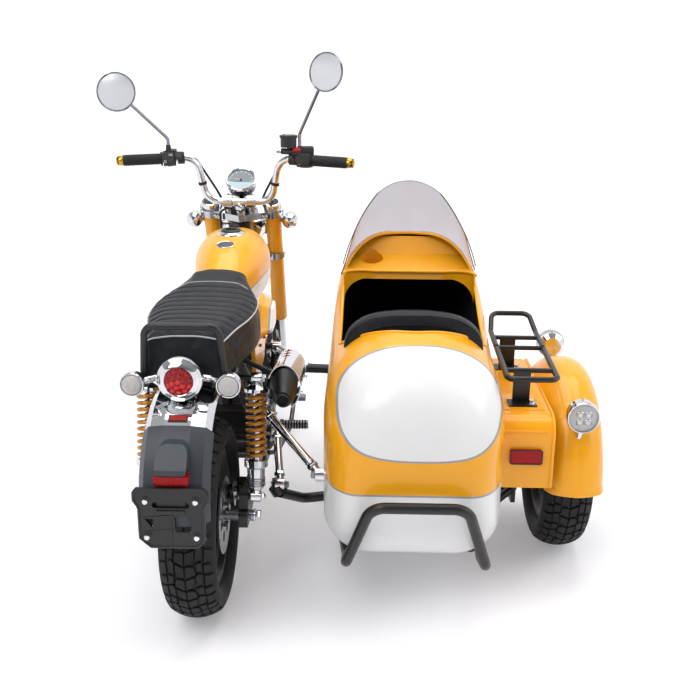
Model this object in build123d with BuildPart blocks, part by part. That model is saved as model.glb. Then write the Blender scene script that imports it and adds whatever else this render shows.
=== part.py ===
from build123d import *
import math
import os

# Places are in millimetres: x from the motorcycle's middle plane towards the sidecar,
# y ahead of the rear axle, z up from a base line that lies base_drop below the floor.
# at() turns them into the part's frame.

# Overall layout
bike_x = -315
rear_axle_y = -536
base_drop = 10
wheelbase = 1155
car_x = 515
car_wheel_x = 935
car_wheel_y = 385

# Wheels: tyres on 12 inch rims
rear_tyre_radius = 246
rear_tyre_width = 130
front_tyre_radius = 240
front_tyre_width = 120
car_tyre_radius = 242
car_tyre_width = 130
rim_bead_radius = 152
rim_flange_radius = 167
rim_half_width = 43
flange_thickness = 4
hub_radius = 34
spoke_pairs = 5
axle_radius = 8
axle_fit = 0.05
seat_fit = 0.1
running_gap = 0.3

# Steering head
rake = 25
trail = 82
fork_offset = 30
fork_half_track = 97
fork_tube_radius = 25
fork_slider_radius = 18.5
stem_radius = 12.5
head_tube_radius = 27
head_bottom = 784
head_top = 911
clamp_thickness = 24

# Rear suspension
pivot_y = 385
pivot_z = 300
arm_inner_x = 93
arm_thickness = 22
shock_x = 133
shock_low_y = 6
shock_low_z = 305
shock_top_y = 66
shock_top_z = 592
spring_radius = 26
spring_wire = 4.8
spring_turns = 10

# Driveline
chain_x = -78
chain_width = 14
sprocket_radius = 73
engine_y = 440
engine_z = 300
engine_sprocket_radius = 30.5
disc_x = 54
disc_radius = 95
disc_thickness = 4

# Handlebar
bar_radius = 11.1
bar_half_length = 341
grip_radius = 16
grip_length = 118

# Sidecar body
shell = 5
floor_z = 172
cockpit_half_width = 184
cockpit_rear_y = 100
cockpit_front_y = 735
dash_rear_y = 600
screen_thickness = 3
chassis_tube = 16
deck_z = 485
deck_rear_y = 90
deck_wall = 4
rack_tube = 7.5

rear_axle_z = rear_tyre_radius + base_drop
front_axle_z = front_tyre_radius + base_drop
car_axle_z = car_tyre_radius + base_drop
disc_side = disc_x - disc_thickness / 2


def at(x, y, z):
    """A point of the machine in the part's frame."""
    return Vector(bike_x + x, rear_axle_y + y, z - base_drop)


def side(x):
    """A plane across x, whose sketch coordinates are the machine's y and z."""
    return Plane(origin=at(x, 0, 0), x_dir=(0, 1, 0), z_dir=(1, 0, 0))


def across(y):
    """A plane across y, whose sketch coordinates are the machine's x and z; it faces back."""
    return Plane(origin=at(0, y, 0), x_dir=(1, 0, 0), z_dir=(0, -1, 0))


def level(z):
    """A level plane, whose sketch coordinates are the machine's x and y."""
    return Plane(origin=at(0, 0, z), x_dir=(1, 0, 0), z_dir=(0, 0, 1))


def rod(start, end, radius, bore=0):
    """A round bar or sleeve from one point to another."""
    way = Vector(*end) - Vector(*start)
    with BuildPart() as piece:
        with BuildSketch(Plane(origin=start, z_dir=way)):
            Circle(radius)
            if bore:
                Circle(bore, mode=Mode.SUBTRACT)
        extrude(amount=way.length)
    return piece.part


def tube(points, radius, bend):
    """A round tube along straight runs with rounded bends."""
    with BuildPart() as piece:
        with BuildLine() as path:
            FilletPolyline(*points, radius=bend)
        with BuildSketch(Plane(origin=path.line @ 0, z_dir=path.line % 0)):
            Circle(radius)
        sweep()
    return piece.part


def turned(origin, axis, profile, toward=(1, 0, 0)):
    """A body of revolution: profile holds (radius, height) pairs along the axis."""
    base = Plane(origin=origin, x_dir=toward, z_dir=axis)
    with BuildPart() as piece:
        with BuildSketch(Plane(origin=origin, x_dir=base.x_dir, z_dir=-base.y_dir)):
            Polygon(*profile, align=None)
        revolve(axis=Axis(base.origin, base.z_dir))
    return piece.part


def plate(plane, outline, thickness, rounding=0, holes=()):
    """A flat plate with a polygon outline, rounded corners and round holes (u, v, radius)."""
    with BuildPart() as piece:
        with BuildSketch(plane) as face:
            Polygon(*outline, align=None)
            if rounding:
                fillet(face.vertices(), radius=rounding)
            for u, v, radius in holes:
                with Locations((u, v)):
                    Circle(radius, mode=Mode.SUBTRACT)
        extrude(amount=thickness)
    return piece.part


os.makedirs("parts", exist_ok=True)


def save(piece, name):
    """Label a finished sub-part and write it as parts/name.step."""
    piece.part.label = name
    export_step(piece.part, "parts/" + name + ".step")


# Steering axis: it leans back by the rake and meets the floor ahead of the front wheel's contact.
lean = math.radians(rake)
steer_y = wheelbase + trail
steer_axis = Vector(0, -math.sin(lean), math.cos(lean))
steer_forward = Vector(0, math.cos(lean), math.sin(lean))


def on_fork(x, forward, along):
    """A point measured from the steering axis: x sideways, forward of it and up along it."""
    return at(x, steer_y, base_drop) + steer_forward * forward + steer_axis * along


def fork_plane(along):
    """A plane across the steering axis, whose sketch coordinates are x and forward."""
    return Plane(origin=on_fork(0, 0, along), x_dir=(1, 0, 0), z_dir=steer_axis)


axle_along = (front_tyre_radius - fork_offset * math.sin(lean)) / math.cos(lean)


def fork_y(z):
    """How far forward the fork's legs stand at a height."""
    along = (z - base_drop - fork_offset * math.sin(lean)) / math.cos(lean)
    return steer_y + fork_offset * math.cos(lean) - along * math.sin(lean)


# Wheels
def tyre(centre, radius, width):
    """A tyre from its beads to its tread, with a crowned tread and bulged side walls."""
    half = width / 2
    seat = rim_half_width - flange_thickness / 2
    shoulder_x = half - 10
    shoulder_r = radius - 17
    with BuildPart() as piece:
        with BuildSketch(Plane(origin=centre, x_dir=(1, 0, 0), z_dir=(0, -1, 0))):
            with BuildLine():
                Line((-seat, rim_bead_radius + seat_fit), (seat, rim_bead_radius + seat_fit))
                Line((seat, rim_bead_radius + seat_fit), (seat, rim_flange_radius + 3))
                ThreePointArc((seat, rim_flange_radius + 3), (half, radius - 44), (shoulder_x, shoulder_r))
                ThreePointArc((shoulder_x, shoulder_r), (0, radius), (-shoulder_x, shoulder_r))
                ThreePointArc((-shoulder_x, shoulder_r), (-half, radius - 44), (-seat, rim_flange_radius + 3))
                Line((-seat, rim_flange_radius + 3), (-seat, rim_bead_radius + seat_fit))
            make_face()
        revolve(axis=Axis(centre, (1, 0, 0)))
    return piece.part


def rim(centre, hub_left, hub_right, bore):
    """A cast rim: a drop-centre barrel, paired spokes and a hub bored for its axle."""
    seat = rim_half_width - flange_thickness / 2
    half = [
        (0, 132),
        (18, 134),
        (26, rim_bead_radius - 5),
        (seat, rim_bead_radius),
        (seat, rim_flange_radius),
        (seat + flange_thickness, rim_flange_radius),
        (seat + flange_thickness, rim_bead_radius - 5),
        (30, rim_bead_radius - 12),
        (22, 128),
        (0, 127),
    ]
    with BuildPart() as piece:
        with BuildSketch(Plane(origin=centre, x_dir=(1, 0, 0), z_dir=(0, -1, 0))):
            Polygon(*half, align=None)
            Polygon(*[(-x, r) for x, r in half], align=None)
        revolve(axis=Axis(centre, (1, 0, 0)))
        with BuildSketch(Plane(origin=centre, x_dir=(0, 1, 0), z_dir=(1, 0, 0))):
            Circle(hub_radius)
        extrude(amount=hub_right)
        with BuildSketch(Plane(origin=centre, x_dir=(0, 1, 0), z_dir=(-1, 0, 0))):
            Circle(hub_radius)
        extrude(amount=-hub_left)
        with BuildSketch(Plane(origin=centre, x_dir=(0, 1, 0), z_dir=(1, 0, 0))):
            with PolarLocations(0, spoke_pairs):
                Polygon((26, 2), (26, 15), (129, 43), (129, 27), align=None)
                Polygon((26, -2), (26, -15), (129, -43), (129, -27), align=None)
        extrude(amount=10, both=True)
        with BuildSketch(Plane(origin=centre, x_dir=(0, 1, 0), z_dir=(1, 0, 0))):
            Circle(bore)
        extrude(amount=200, both=True, mode=Mode.SUBTRACT)
    return piece.part


def brake_disc(centre, x):
    """A brake disc on a carrier with its ring of vent holes."""
    with BuildPart() as piece:
        with BuildSketch(Plane(origin=centre + Vector(x, 0, 0), x_dir=(0, 1, 0), z_dir=(1, 0, 0))):
            Circle(disc_radius)
            Circle(axle_radius + 4, mode=Mode.SUBTRACT)
            with PolarLocations(52, 6):
                Circle(14, mode=Mode.SUBTRACT)
            with PolarLocations(82, 18):
                Circle(3.5, mode=Mode.SUBTRACT)
        extrude(amount=disc_thickness)
    return piece.part


rear_centre = at(0, 0, rear_axle_z)
front_centre = at(0, wheelbase, front_axle_z)
car_centre = at(car_wheel_x, car_wheel_y, car_axle_z)
hub_left = chain_x + 3
hub_right = disc_side

with BuildPart() as rear_rim:
    add(rim(rear_centre, hub_left, hub_right, axle_radius + axle_fit))
save(rear_rim, "rear_rim")

with BuildPart() as rear_tyre:
    add(tyre(rear_centre, rear_tyre_radius, rear_tyre_width))
save(rear_tyre, "rear_tyre")

with BuildPart() as rear_disc:
    add(brake_disc(rear_centre, disc_side))
save(rear_disc, "rear_disc")

teeth = 30
with BuildPart() as rear_sprocket:
    with BuildSketch(Plane(origin=at(chain_x + 3, 0, rear_axle_z), x_dir=(0, 1, 0), z_dir=(-1, 0, 0))):
        Circle(sprocket_radius - 5)
        with PolarLocations(sprocket_radius - 5, teeth):
            Circle(4)
        Circle(axle_radius + 4, mode=Mode.SUBTRACT)
        with PolarLocations(46, 5):
            Circle(12, mode=Mode.SUBTRACT)
    extrude(amount=6)
save(rear_sprocket, "rear_sprocket")

with BuildPart() as front_rim:
    add(rim(front_centre, -hub_right, hub_right, axle_radius + axle_fit))
save(front_rim, "front_rim")

with BuildPart() as front_tyre:
    add(tyre(front_centre, front_tyre_radius, front_tyre_width))
save(front_tyre, "front_tyre")

with BuildPart() as front_disc:
    add(brake_disc(front_centre, disc_side))
save(front_disc, "front_disc")

with BuildPart() as car_rim:
    add(rim(car_centre, -hub_right, hub_right, axle_radius + axle_fit))
save(car_rim, "car_rim")

with BuildPart() as car_tyre:
    add(tyre(car_centre, car_tyre_radius, car_tyre_width))
save(car_tyre, "car_tyre")

# Axles of the rear wheel and of the sidecar wheel, stepped to hold the hubs
arm_outer_x = arm_inner_x + arm_thickness
axle_end = arm_outer_x + 14
rear_axle_profile = [
    (0, -axle_end),
    (14, -axle_end),
    (14, -arm_outer_x),
    (axle_radius, -arm_outer_x),
    (axle_radius, -arm_inner_x),
    (13, -arm_inner_x),
    (13, chain_x - 3 - running_gap),
    (axle_radius, chain_x - 3 - running_gap),
    (axle_radius, disc_side + disc_thickness + running_gap),
    (13, disc_side + disc_thickness + running_gap),
    (13, arm_inner_x),
    (axle_radius, arm_inner_x),
    (axle_radius, arm_outer_x),
    (14, arm_outer_x),
    (14, axle_end),
    (0, axle_end),
]
stub_start = -115
car_axle_profile = [
    (0, stub_start),
    (16, stub_start),
    (16, -hub_right - running_gap),
    (axle_radius, -hub_right - running_gap),
    (axle_radius, hub_right + running_gap),
    (14, hub_right + running_gap),
    (14, hub_right + 12),
    (0, hub_right + 12),
]
with BuildPart() as axles:
    add(turned(rear_centre, (1, 0, 0), rear_axle_profile, toward=(0, 1, 0)))
    add(turned(car_centre, (1, 0, 0), car_axle_profile, toward=(0, 1, 0)))
save(axles, "axles")

lug_x = fork_half_track
lug_half = 22
front_axle_profile = [
    (0, -lug_x - lug_half - 8),
    (13, -lug_x - lug_half - 8),
    (13, -lug_x - lug_half),
    (axle_radius, -lug_x - lug_half),
    (axle_radius, -lug_x + lug_half),
    (13, -lug_x + lug_half),
    (13, -hub_right - running_gap),
    (axle_radius, -hub_right - running_gap),
    (axle_radius, disc_side + disc_thickness + running_gap),
    (13, disc_side + disc_thickness + running_gap),
    (13, lug_x - lug_half),
    (axle_radius, lug_x - lug_half),
    (axle_radius, lug_x + lug_half),
    (13, lug_x + lug_half),
    (13, lug_x + lug_half + 8),
    (0, lug_x + lug_half + 8),
]
with BuildPart() as front_axle:
    add(turned(front_centre, (1, 0, 0), front_axle_profile, toward=(0, 1, 0)))
save(front_axle, "front_axle")

# Fork: upper tubes in two clamps, sliders with axle lugs
slider_top = 509
tube_bottom = 489
tube_top = 947
low_clamp = 754
top_clamp = head_top + 4

with BuildPart() as fork_tubes:
    for sign in (-1, 1):
        add(rod(on_fork(sign * fork_half_track, fork_offset, tube_bottom),
                on_fork(sign * fork_half_track, fork_offset, tube_top),
                fork_tube_radius, fork_slider_radius + seat_fit))
        add(rod(on_fork(sign * fork_half_track, fork_offset, tube_top),
                on_fork(sign * fork_half_track, fork_offset, tube_top + 8), 20))
save(fork_tubes, "fork_tubes")

with BuildPart() as fork_sliders:
    for sign in (-1, 1):
        add(rod(on_fork(sign * fork_half_track, fork_offset, axle_along + 20),
                on_fork(sign * fork_half_track, fork_offset, slider_top + 130), fork_slider_radius))
        add(rod(on_fork(sign * fork_half_track, fork_offset, axle_along - 20),
                on_fork(sign * fork_half_track, fork_offset, axle_along + 60), lug_half - 1))
        add(rod(at(sign * fork_half_track - lug_half, wheelbase, front_axle_z),
                at(sign * fork_half_track + lug_half, wheelbase, front_axle_z), lug_half))
        add(rod(at(sign * fork_half_track - 30, wheelbase, front_axle_z),
                at(sign * fork_half_track + 30, wheelbase, front_axle_z), axle_radius + seat_fit),
            mode=Mode.SUBTRACT)
save(fork_sliders, "fork_sliders")


def fork_clamp(along, thickness, boss):
    """A clamp across both fork tubes, waisted towards its middle boss."""
    with BuildPart() as piece:
        with BuildSketch(fork_plane(along)):
            for sign in (-1, 1):
                with BuildLine():
                    Polyline((0, -boss), (sign * fork_half_track, fork_offset - 26),
                             (sign * fork_half_track, fork_offset + 26), (0, boss), close=True)
                make_face()
                with Locations((sign * fork_half_track, fork_offset)):
                    Circle(fork_tube_radius + 9)
            Circle(boss)
            with Locations((-fork_half_track, fork_offset), (fork_half_track, fork_offset)):
                Circle(fork_tube_radius + seat_fit, mode=Mode.SUBTRACT)
        extrude(amount=thickness)
    return piece.part


riser_y = 6
clamp_half = 36
bar_along = top_clamp + clamp_thickness + 34
with BuildPart() as triple_clamps:
    add(fork_clamp(low_clamp, clamp_thickness, 26))
    add(fork_clamp(top_clamp, clamp_thickness, 24))
    add(rod(on_fork(0, 0, low_clamp), on_fork(0, 0, top_clamp + clamp_thickness), stem_radius))
    add(rod(on_fork(0, 0, top_clamp + clamp_thickness), on_fork(0, 0, top_clamp + clamp_thickness + 12), 17))
    for sign in (-1, 1):
        add(rod(on_fork(sign * clamp_half, riser_y, top_clamp + clamp_thickness - 2),
                on_fork(sign * clamp_half, riser_y, bar_along), 14))
        add(rod(on_fork(sign * clamp_half - 13, riser_y, bar_along),
                on_fork(sign * clamp_half + 13, riser_y, bar_along), 21))
        add(rod(on_fork(sign * clamp_half - 20, riser_y, bar_along),
                on_fork(sign * clamp_half + 20, riser_y, bar_along), bar_radius + seat_fit), mode=Mode.SUBTRACT)
save(triple_clamps, "triple_clamps")

# Handlebar, grips, controls
bar_middle = on_fork(0, riser_y, bar_along) - at(0, 0, 0)
bar_half = [
    (100, bar_middle.Y, bar_middle.Z),
    (126, bar_middle.Y - 26, bar_middle.Z + 136),
    (bar_half_length, bar_middle.Y - 82, bar_middle.Z + 130),
]
bar_points = [at(-x, y, z) for x, y, z in reversed(bar_half)] + [at(x, y, z) for x, y, z in bar_half]
bar_elbow = Vector(*bar_half[1])
bar_end = Vector(*bar_half[2])
bar_run = (bar_end - bar_elbow).normalized()


def on_bar(sign, distance, behind=0, above=0):
    """A point on a handlebar's straight end, measured back from its tip."""
    point = bar_end - bar_run * distance
    return at(sign * point.X, point.Y - behind, point.Z + above)


with BuildPart() as handlebar:
    add(tube(bar_points, bar_radius, [50, 46, 46, 50]))
save(handlebar, "handlebar")

with BuildPart() as grips:
    for sign in (-1, 1):
        add(rod(on_bar(sign, grip_length), on_bar(sign, 8), grip_radius, bar_radius + seat_fit))
        add(rod(on_bar(sign, grip_length + 5), on_bar(sign, grip_length), grip_radius + 5, bar_radius + seat_fit))
        add(rod(on_bar(sign, 0), on_bar(sign, -9), 13))
save(grips, "grips")

with BuildPart() as switchgear:
    for sign in (-1, 1):
        add(rod(on_bar(sign, grip_length + 44), on_bar(sign, grip_length + 8), 23, bar_radius + seat_fit))
        add(rod(on_bar(sign, grip_length + 70), on_bar(sign, grip_length + 50), 18, bar_radius + seat_fit))
        add(tube([on_bar(sign, grip_length + 60, -12), on_bar(sign, grip_length + 40, -46),
                  on_bar(sign, grip_length - 20, -62, -4), on_bar(sign, 8, -54, -8)], 6, [18, 30]))
    reservoir = on_bar(1, grip_length + 74, 4, 50)
    add(rod(reservoir - Vector(0, 0, 15), reservoir + Vector(0, 0, 13), 24))
    add(rod(reservoir + Vector(0, 0, 13), reservoir + Vector(0, 0, 20), 27))
    add(rod(on_bar(1, grip_length + 62), reservoir, 9))
    for sign, inboard in ((-1, 142), (1, 157)):
        add(rod(on_bar(sign, inboard), on_bar(sign, inboard, 0, 32), 8))
    for sign in (-1, 1):
        add(rod(on_bar(sign, grip_length + 76), on_bar(sign, grip_length + 1), bar_radius + seat_fit),
            mode=Mode.SUBTRACT)
    add(handlebar.part, mode=Mode.SUBTRACT)
save(switchgear, "switchgear")

# Mirrors: side, stem bend, head centre and the glass's tilt to the rider
mirror_radius = 55
head_y = bar_middle.Y - 131
mirrors_table = [
    # side, perch from the bar's tip, bend above the perch, head x, head z, aim x
    (-1, 142, 26, -328, 1224, 0.10),
    (1, 157, 44, 272, 1284, -0.55),
]
with BuildPart() as mirrors:
    for sign, inboard, rise, head_x, head_z, aim in mirrors_table:
        perch = on_bar(sign, inboard, 0, 32)
        head = at(head_x, head_y + 10, head_z)
        add(tube([perch, perch + Vector(0, 0, rise), head], 5, 20))
        glass_way = Vector(aim, -1, 0.12).normalized()
        add(turned(at(head_x, head_y, head_z), glass_way,
                   [(0, -18), (20, -17), (44, -8), (mirror_radius, -1), (mirror_radius, 3),
                    (mirror_radius - 4, 3), (mirror_radius - 4, 1), (0, 1)]))
save(mirrors, "mirrors")

# Headlamp, instrument and front indicators
lamp_y = steer_y - 227
lamp_z = 800
lamp_radius = 68
lamp_profile = [(0, -88), (30, -84), (54, -62), (64, -30), (lamp_radius - 2, 0), (lamp_radius, 2),
                (lamp_radius, 16), (lamp_radius - 6, 18), (lamp_radius - 6, 6), (0, 6)]
with BuildPart() as headlamp:
    add(turned(at(0, lamp_y, lamp_z), (0, 1, 0), lamp_profile))
    for sign in (-1, 1):
        add(plate(side(sign * (lamp_radius + 3) - 2),
                  [(lamp_y - 114, lamp_z + 20), (lamp_y - 114, lamp_z - 20),
                   (lamp_y - 20, lamp_z - 12), (lamp_y - 20, lamp_z + 12)],
                  4, 5))
        add(rod(at(sign * 60, lamp_y - 34, lamp_z), at(sign * (lamp_radius + 12), lamp_y - 34, lamp_z), 6))
    add(fork_tubes.part, mode=Mode.SUBTRACT)
save(headlamp, "headlamp")

dial_centre = at(0, steer_y - 365, 952)
dial_way = Vector(0, -0.62, 0.78)
with BuildPart() as speedometer:
    add(turned(dial_centre, dial_way,
               [(0, -46), (30, -44), (44, -26), (48, -4), (48, 6), (42, 8), (42, 3), (0, 3)]))
    add(rod(dial_centre - dial_way.normalized() * 44, on_fork(0, 24, top_clamp + clamp_thickness), 9))
    add(triple_clamps.part, mode=Mode.SUBTRACT)
save(speedometer, "speedometer")

indicator_profile = [(0, -30), (14, -26), (24, -10), (26, 8), (26, 14), (0, 14)]
indicator_lens = [(0, 14 + seat_fit), (24, 14 + seat_fit), (20, 22), (8, 28), (0, 29)]
front_indicator_x = 150
front_indicator_y = steer_y - 365
front_indicator_z = 830
with BuildPart() as front_indicators:
    for sign in (-1, 1):
        add(turned(at(sign * front_indicator_x, front_indicator_y, front_indicator_z), (0, 1, 0),
                   indicator_profile))
        add(rod(on_fork(sign * (fork_half_track + fork_tube_radius - 2), fork_offset - 8, 896),
                at(sign * (front_indicator_x - 14), front_indicator_y - 6, front_indicator_z), 7))
    add(fork_tubes.part, mode=Mode.SUBTRACT)
save(front_indicators, "front_indicators")

with BuildPart() as front_lenses:
    for sign in (-1, 1):
        add(turned(at(sign * front_indicator_x, front_indicator_y, front_indicator_z), (0, 1, 0), indicator_lens))
    add(turned(at(0, lamp_y, lamp_z), (0, 1, 0),
               [(0, 6 + seat_fit), (lamp_radius - 6.2, 6 + seat_fit), (lamp_radius - 6.2, 16), (40, 24), (0, 28)]))
save(front_lenses, "front_lenses")

# Control cables: from the switch housings down behind the headlamp, and one between the clamps
with BuildPart() as control_cables:
    for sign in (-1, 1):
        add(tube([on_bar(sign, grip_length + 62, -16, 0), on_bar(sign, grip_length + 98, -38, -8),
                  at(sign * 78, bar_middle.Y + 44, bar_middle.Z + 30), at(sign * 44, lamp_y - 112, lamp_z + 52),
                  at(sign * 34, lamp_y - 66, lamp_z + 14)], 3.5, [24, 36, 24]))
    add(tube([on_fork(-22, -6, top_clamp + clamp_thickness - 4), on_fork(-26, -8, top_clamp + clamp_thickness + 26),
              on_fork(-60, -20, top_clamp + clamp_thickness + 14), on_fork(-62, -18, top_clamp - 40),
              on_fork(-52, 6, low_clamp + clamp_thickness - 4)], 3.5, [14, 18, 40]))
    add(switchgear.part, mode=Mode.SUBTRACT)
    add(headlamp.part, mode=Mode.SUBTRACT)
    add(triple_clamps.part, mode=Mode.SUBTRACT)
save(control_cables, "control_cables")


def guard(centre_y, centre_z, inner, half_width, thickness, start, end, skirt=10, x=0):
    """A mudguard: an arched strip round an axis along x, from one angle to another behind vertical."""
    profile = [(-half_width, -skirt), (-half_width + 14, 0), (-half_width * 0.4, 6), (half_width * 0.4, 6),
               (half_width - 14, 0), (half_width, -skirt)]
    outer = [(u, inner + v + thickness) for u, v in profile]
    lower = [(u - math.copysign(thickness, u) * (abs(u) > half_width - 1), inner + v) for u, v in profile]
    first = math.radians(start)
    radial = Vector(0, -math.sin(first), math.cos(first))
    centre = at(x, centre_y, centre_z)
    with BuildPart() as piece:
        with BuildSketch(Plane(origin=centre, x_dir=(1, 0, 0), z_dir=Vector(1, 0, 0).cross(radial))):
            Polygon(*(outer + lower[::-1]), align=None)
        revolve(axis=Axis(centre, (1, 0, 0)), revolution_arc=end - start)
    return piece.part


brace_z = front_axle_z + front_tyre_radius - 38
brace_y = fork_y(brace_z) + 8
with BuildPart() as front_fender:
    add(guard(wheelbase, front_axle_z, front_tyre_radius + 16, 61, 2, -42, 55))
    for sign in (-1, 1):
        add(plate(side(sign * 63.5 - 2.5),
                  [(brace_y - 42, brace_z - 12), (brace_y - 22, brace_z + 48),
                   (brace_y + 38, brace_z + 60), (brace_y + 48, brace_z - 12)], 5, 8))
        add(rod(at(sign * 61, brace_y, brace_z),
                at(sign * (fork_half_track - fork_slider_radius - seat_fit), brace_y, brace_z), 7))
save(front_fender, "front_fender")

# Outlines behind and above the front axle
front_caliper_outline = [(-80, 12), (-80, 80), (-43, 88), (-25, 50), (-37, 8)]
caliper_mount_outline = [(-71, 32), (-71, 68), (-15, 62), (-15, 22)]
with BuildPart() as front_caliper:
    add(plate(side(disc_side - 16), [(wheelbase + y, front_axle_z + z) for y, z in front_caliper_outline], 36, 8))
    add(rod(at(disc_side - 3, wheelbase, front_axle_z),
            at(disc_side + disc_thickness + 3, wheelbase, front_axle_z), disc_radius + 4), mode=Mode.SUBTRACT)
    add(plate(side(68), [(wheelbase + y, front_axle_z + z) for y, z in caliper_mount_outline], 12, 4))
    add(fork_sliders.part, mode=Mode.SUBTRACT)
save(front_caliper, "front_caliper")

# Frame: head tube, backbone, seat rails and pivot plates
guard_y = -110
guard_z = 410
guard_radius = 216
guard_top = guard_z + guard_radius + 8
head_mid = on_fork(0, 0, (head_bottom + head_top) / 2) - at(0, 0, 0)
rail_x = 62
rail_radius = 11
spine_radius = 24
plate_x = 119
pivot_radius = 8
lug_end = 108
spine_rear_y = 402
spine_reach = head_mid.Y - spine_rear_y
spine_front_y = spine_rear_y + 0.667 * spine_reach
spine_knee_y = spine_rear_y + 0.2475 * spine_reach
hanger_y = spine_rear_y + 0.625 * spine_reach
with BuildPart() as frame:
    add(rod(on_fork(0, 0, head_bottom), on_fork(0, 0, head_top), head_tube_radius))
    add(tube([at(0, head_mid.Y, head_mid.Z), at(0, spine_front_y, 640), at(0, spine_knee_y, 604),
              at(0, spine_rear_y + 22, 480), at(0, spine_rear_y, 392)], spine_radius, [60, 60, 50]))
    for sign in (-1, 1):
        add(tube([at(0, 500, 597), at(sign * rail_x, 450, 606), at(sign * rail_x, 120, 628),
                  at(sign * rail_x, -104, 644)], rail_radius, [30, 60]))
        add(tube([at(sign * rail_x, 170, 624), at(sign * 88, 340, 470), at(sign * (plate_x - 2), 392, 392)],
                 rail_radius, 40))
        add(plate(side(sign * plate_x - 3),
                  [(345, 250), (345, 400), (392, 420), (446, 396), (446, 226), (410, 222)], 6, 12,
                  [(pivot_y, pivot_z, pivot_radius + seat_fit)]))
        add(rod(at(0, 402, 384), at(sign * plate_x, 402, 384), 12))
        add(plate(side(sign * (rail_x + rail_radius + 2) - 3),
                  [(shock_top_y - 26, 575), (shock_top_y - 26, 633), (shock_top_y + 44, 628),
                   (shock_top_y + 29, 575)], 6, 8))
        add(rod(at(sign * (rail_x + rail_radius), shock_top_y, shock_top_z),
                at(sign * (shock_x + 14), shock_top_y, shock_top_z), 7))
    add(rod(at(-rail_x, -96, 643), at(rail_x, -96, 643), 643 - guard_top - running_gap))
    add(rod(at(-rail_x, 140, 627), at(rail_x, 140, 627), 9))
    for sign in (-1, 1):
        add(tube([at(sign * 88, 340, 470), at(sign * 92, 194, 463), at(sign * (rail_x + 10), 92, 610)], 10, 40))
    add(tube([at(0, hanger_y, 634), at(0, hanger_y + 4, 540), at(0, hanger_y, 458)], 14, 80))
    add(rod(at(0, hanger_y, 470), at(lug_end, hanger_y, 470), 10))
    add(rod(at(92, 194, 463), at(lug_end + 12, 194, 463), 10))
    add(rod(at(plate_x, 362, 336), at(lug_end + 30, 362, 336), 10))
    add(rod(on_fork(0, 0, head_bottom - 5), on_fork(0, 0, head_top + 5), stem_radius + axle_fit),
        mode=Mode.SUBTRACT)
save(frame, "frame")

# Swingarm with its pivot shaft, and the shock absorbers
with BuildPart() as swingarm:
    for sign in (-1, 1):
        near = arm_inner_x if sign > 0 else -arm_outer_x
        add(plate(side(near), [(-34, rear_axle_z - 22), (-34, rear_axle_z + 22), (40, rear_axle_z + 26),
                               (pivot_y + 24, pivot_z + 22), (pivot_y + 24, pivot_z - 22), (40, rear_axle_z - 18)],
                  arm_thickness, 12, [(0, rear_axle_z, axle_radius + seat_fit)]))
        add(plate(side(near), [(-16, 268), (-10, 318), (26, 318), (40, 268)], arm_thickness, 6))
        add(rod(at(sign * arm_outer_x, shock_low_y, shock_low_z),
                at(sign * (shock_x + 14), shock_low_y, shock_low_z), 7))
        add(rod(at(sign * (arm_inner_x + 4), 0, rear_axle_z), at(sign * (arm_outer_x + 4), 0, rear_axle_z),
                axle_radius + seat_fit), mode=Mode.SUBTRACT)
    add(rod(at(-arm_inner_x, 318, 292), at(arm_inner_x, 318, 292), 13))
    add(rod(at(-plate_x - 12, pivot_y, pivot_z), at(plate_x + 12, pivot_y, pivot_z), pivot_radius))
    add(rod(at(-arm_inner_x, pivot_y, pivot_z), at(arm_inner_x, pivot_y, pivot_z), 15))
save(swingarm, "swingarm")

shock_low = Vector(0, shock_low_y, shock_low_z)
shock_run = Vector(0, shock_top_y, shock_top_z) - shock_low
shock_length = shock_run.length
shock_way = shock_run.normalized()
spring_start = 92
spring_end = shock_length - 34
cup_radius = spring_radius + 3
body_radius = spring_radius - 2 * spring_wire - 1.2
damper_profile = [
    (0, 8),
    (12, 8),
    (14, 16),
    (20, 24),
    (22, 70),
    (cup_radius, 76),
    (cup_radius, spring_start),
    (body_radius, spring_start),
    (body_radius, spring_start + 70),
    (7, spring_start + 74),
    (7, spring_end),
    (cup_radius, spring_end),
    (cup_radius, spring_end + 8),
    (16, spring_end + 18),
    (0, shock_length - 8),
]


def damper(base):
    """A shock absorber's body, its spring cups and its two eyes."""
    with BuildPart() as piece:
        add(turned(base, shock_way, damper_profile))
        for point in (base, base + shock_way * shock_length):
            add(rod(point - Vector(11, 0, 0), point + Vector(11, 0, 0), 14))
            add(rod(point - Vector(30, 0, 0), point + Vector(30, 0, 0), 7 + seat_fit), mode=Mode.SUBTRACT)
    return piece.part


with BuildPart() as shock_bodies:
    for sign in (-1, 1):
        add(damper(at(sign * shock_x, shock_low_y, shock_low_z)))
save(shock_bodies, "shock_bodies")

coil_height = spring_end - spring_start - 2 * spring_wire - 2 * running_gap
with BuildPart() as shock_springs:
    for sign in (-1, 1):
        foot = at(sign * shock_x, shock_low_y, shock_low_z)
        foot += shock_way * (spring_start + spring_wire + running_gap)
        with BuildLine() as coil:
            Helix(coil_height / spring_turns, coil_height, spring_radius - spring_wire,
                  center=foot, direction=shock_way)
        with BuildSketch(Plane(origin=coil.line @ 0, z_dir=coil.line % 0)):
            Circle(spring_wire)
        sweep(path=coil.line, is_frenet=True)
save(shock_springs, "shock_springs")


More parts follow.
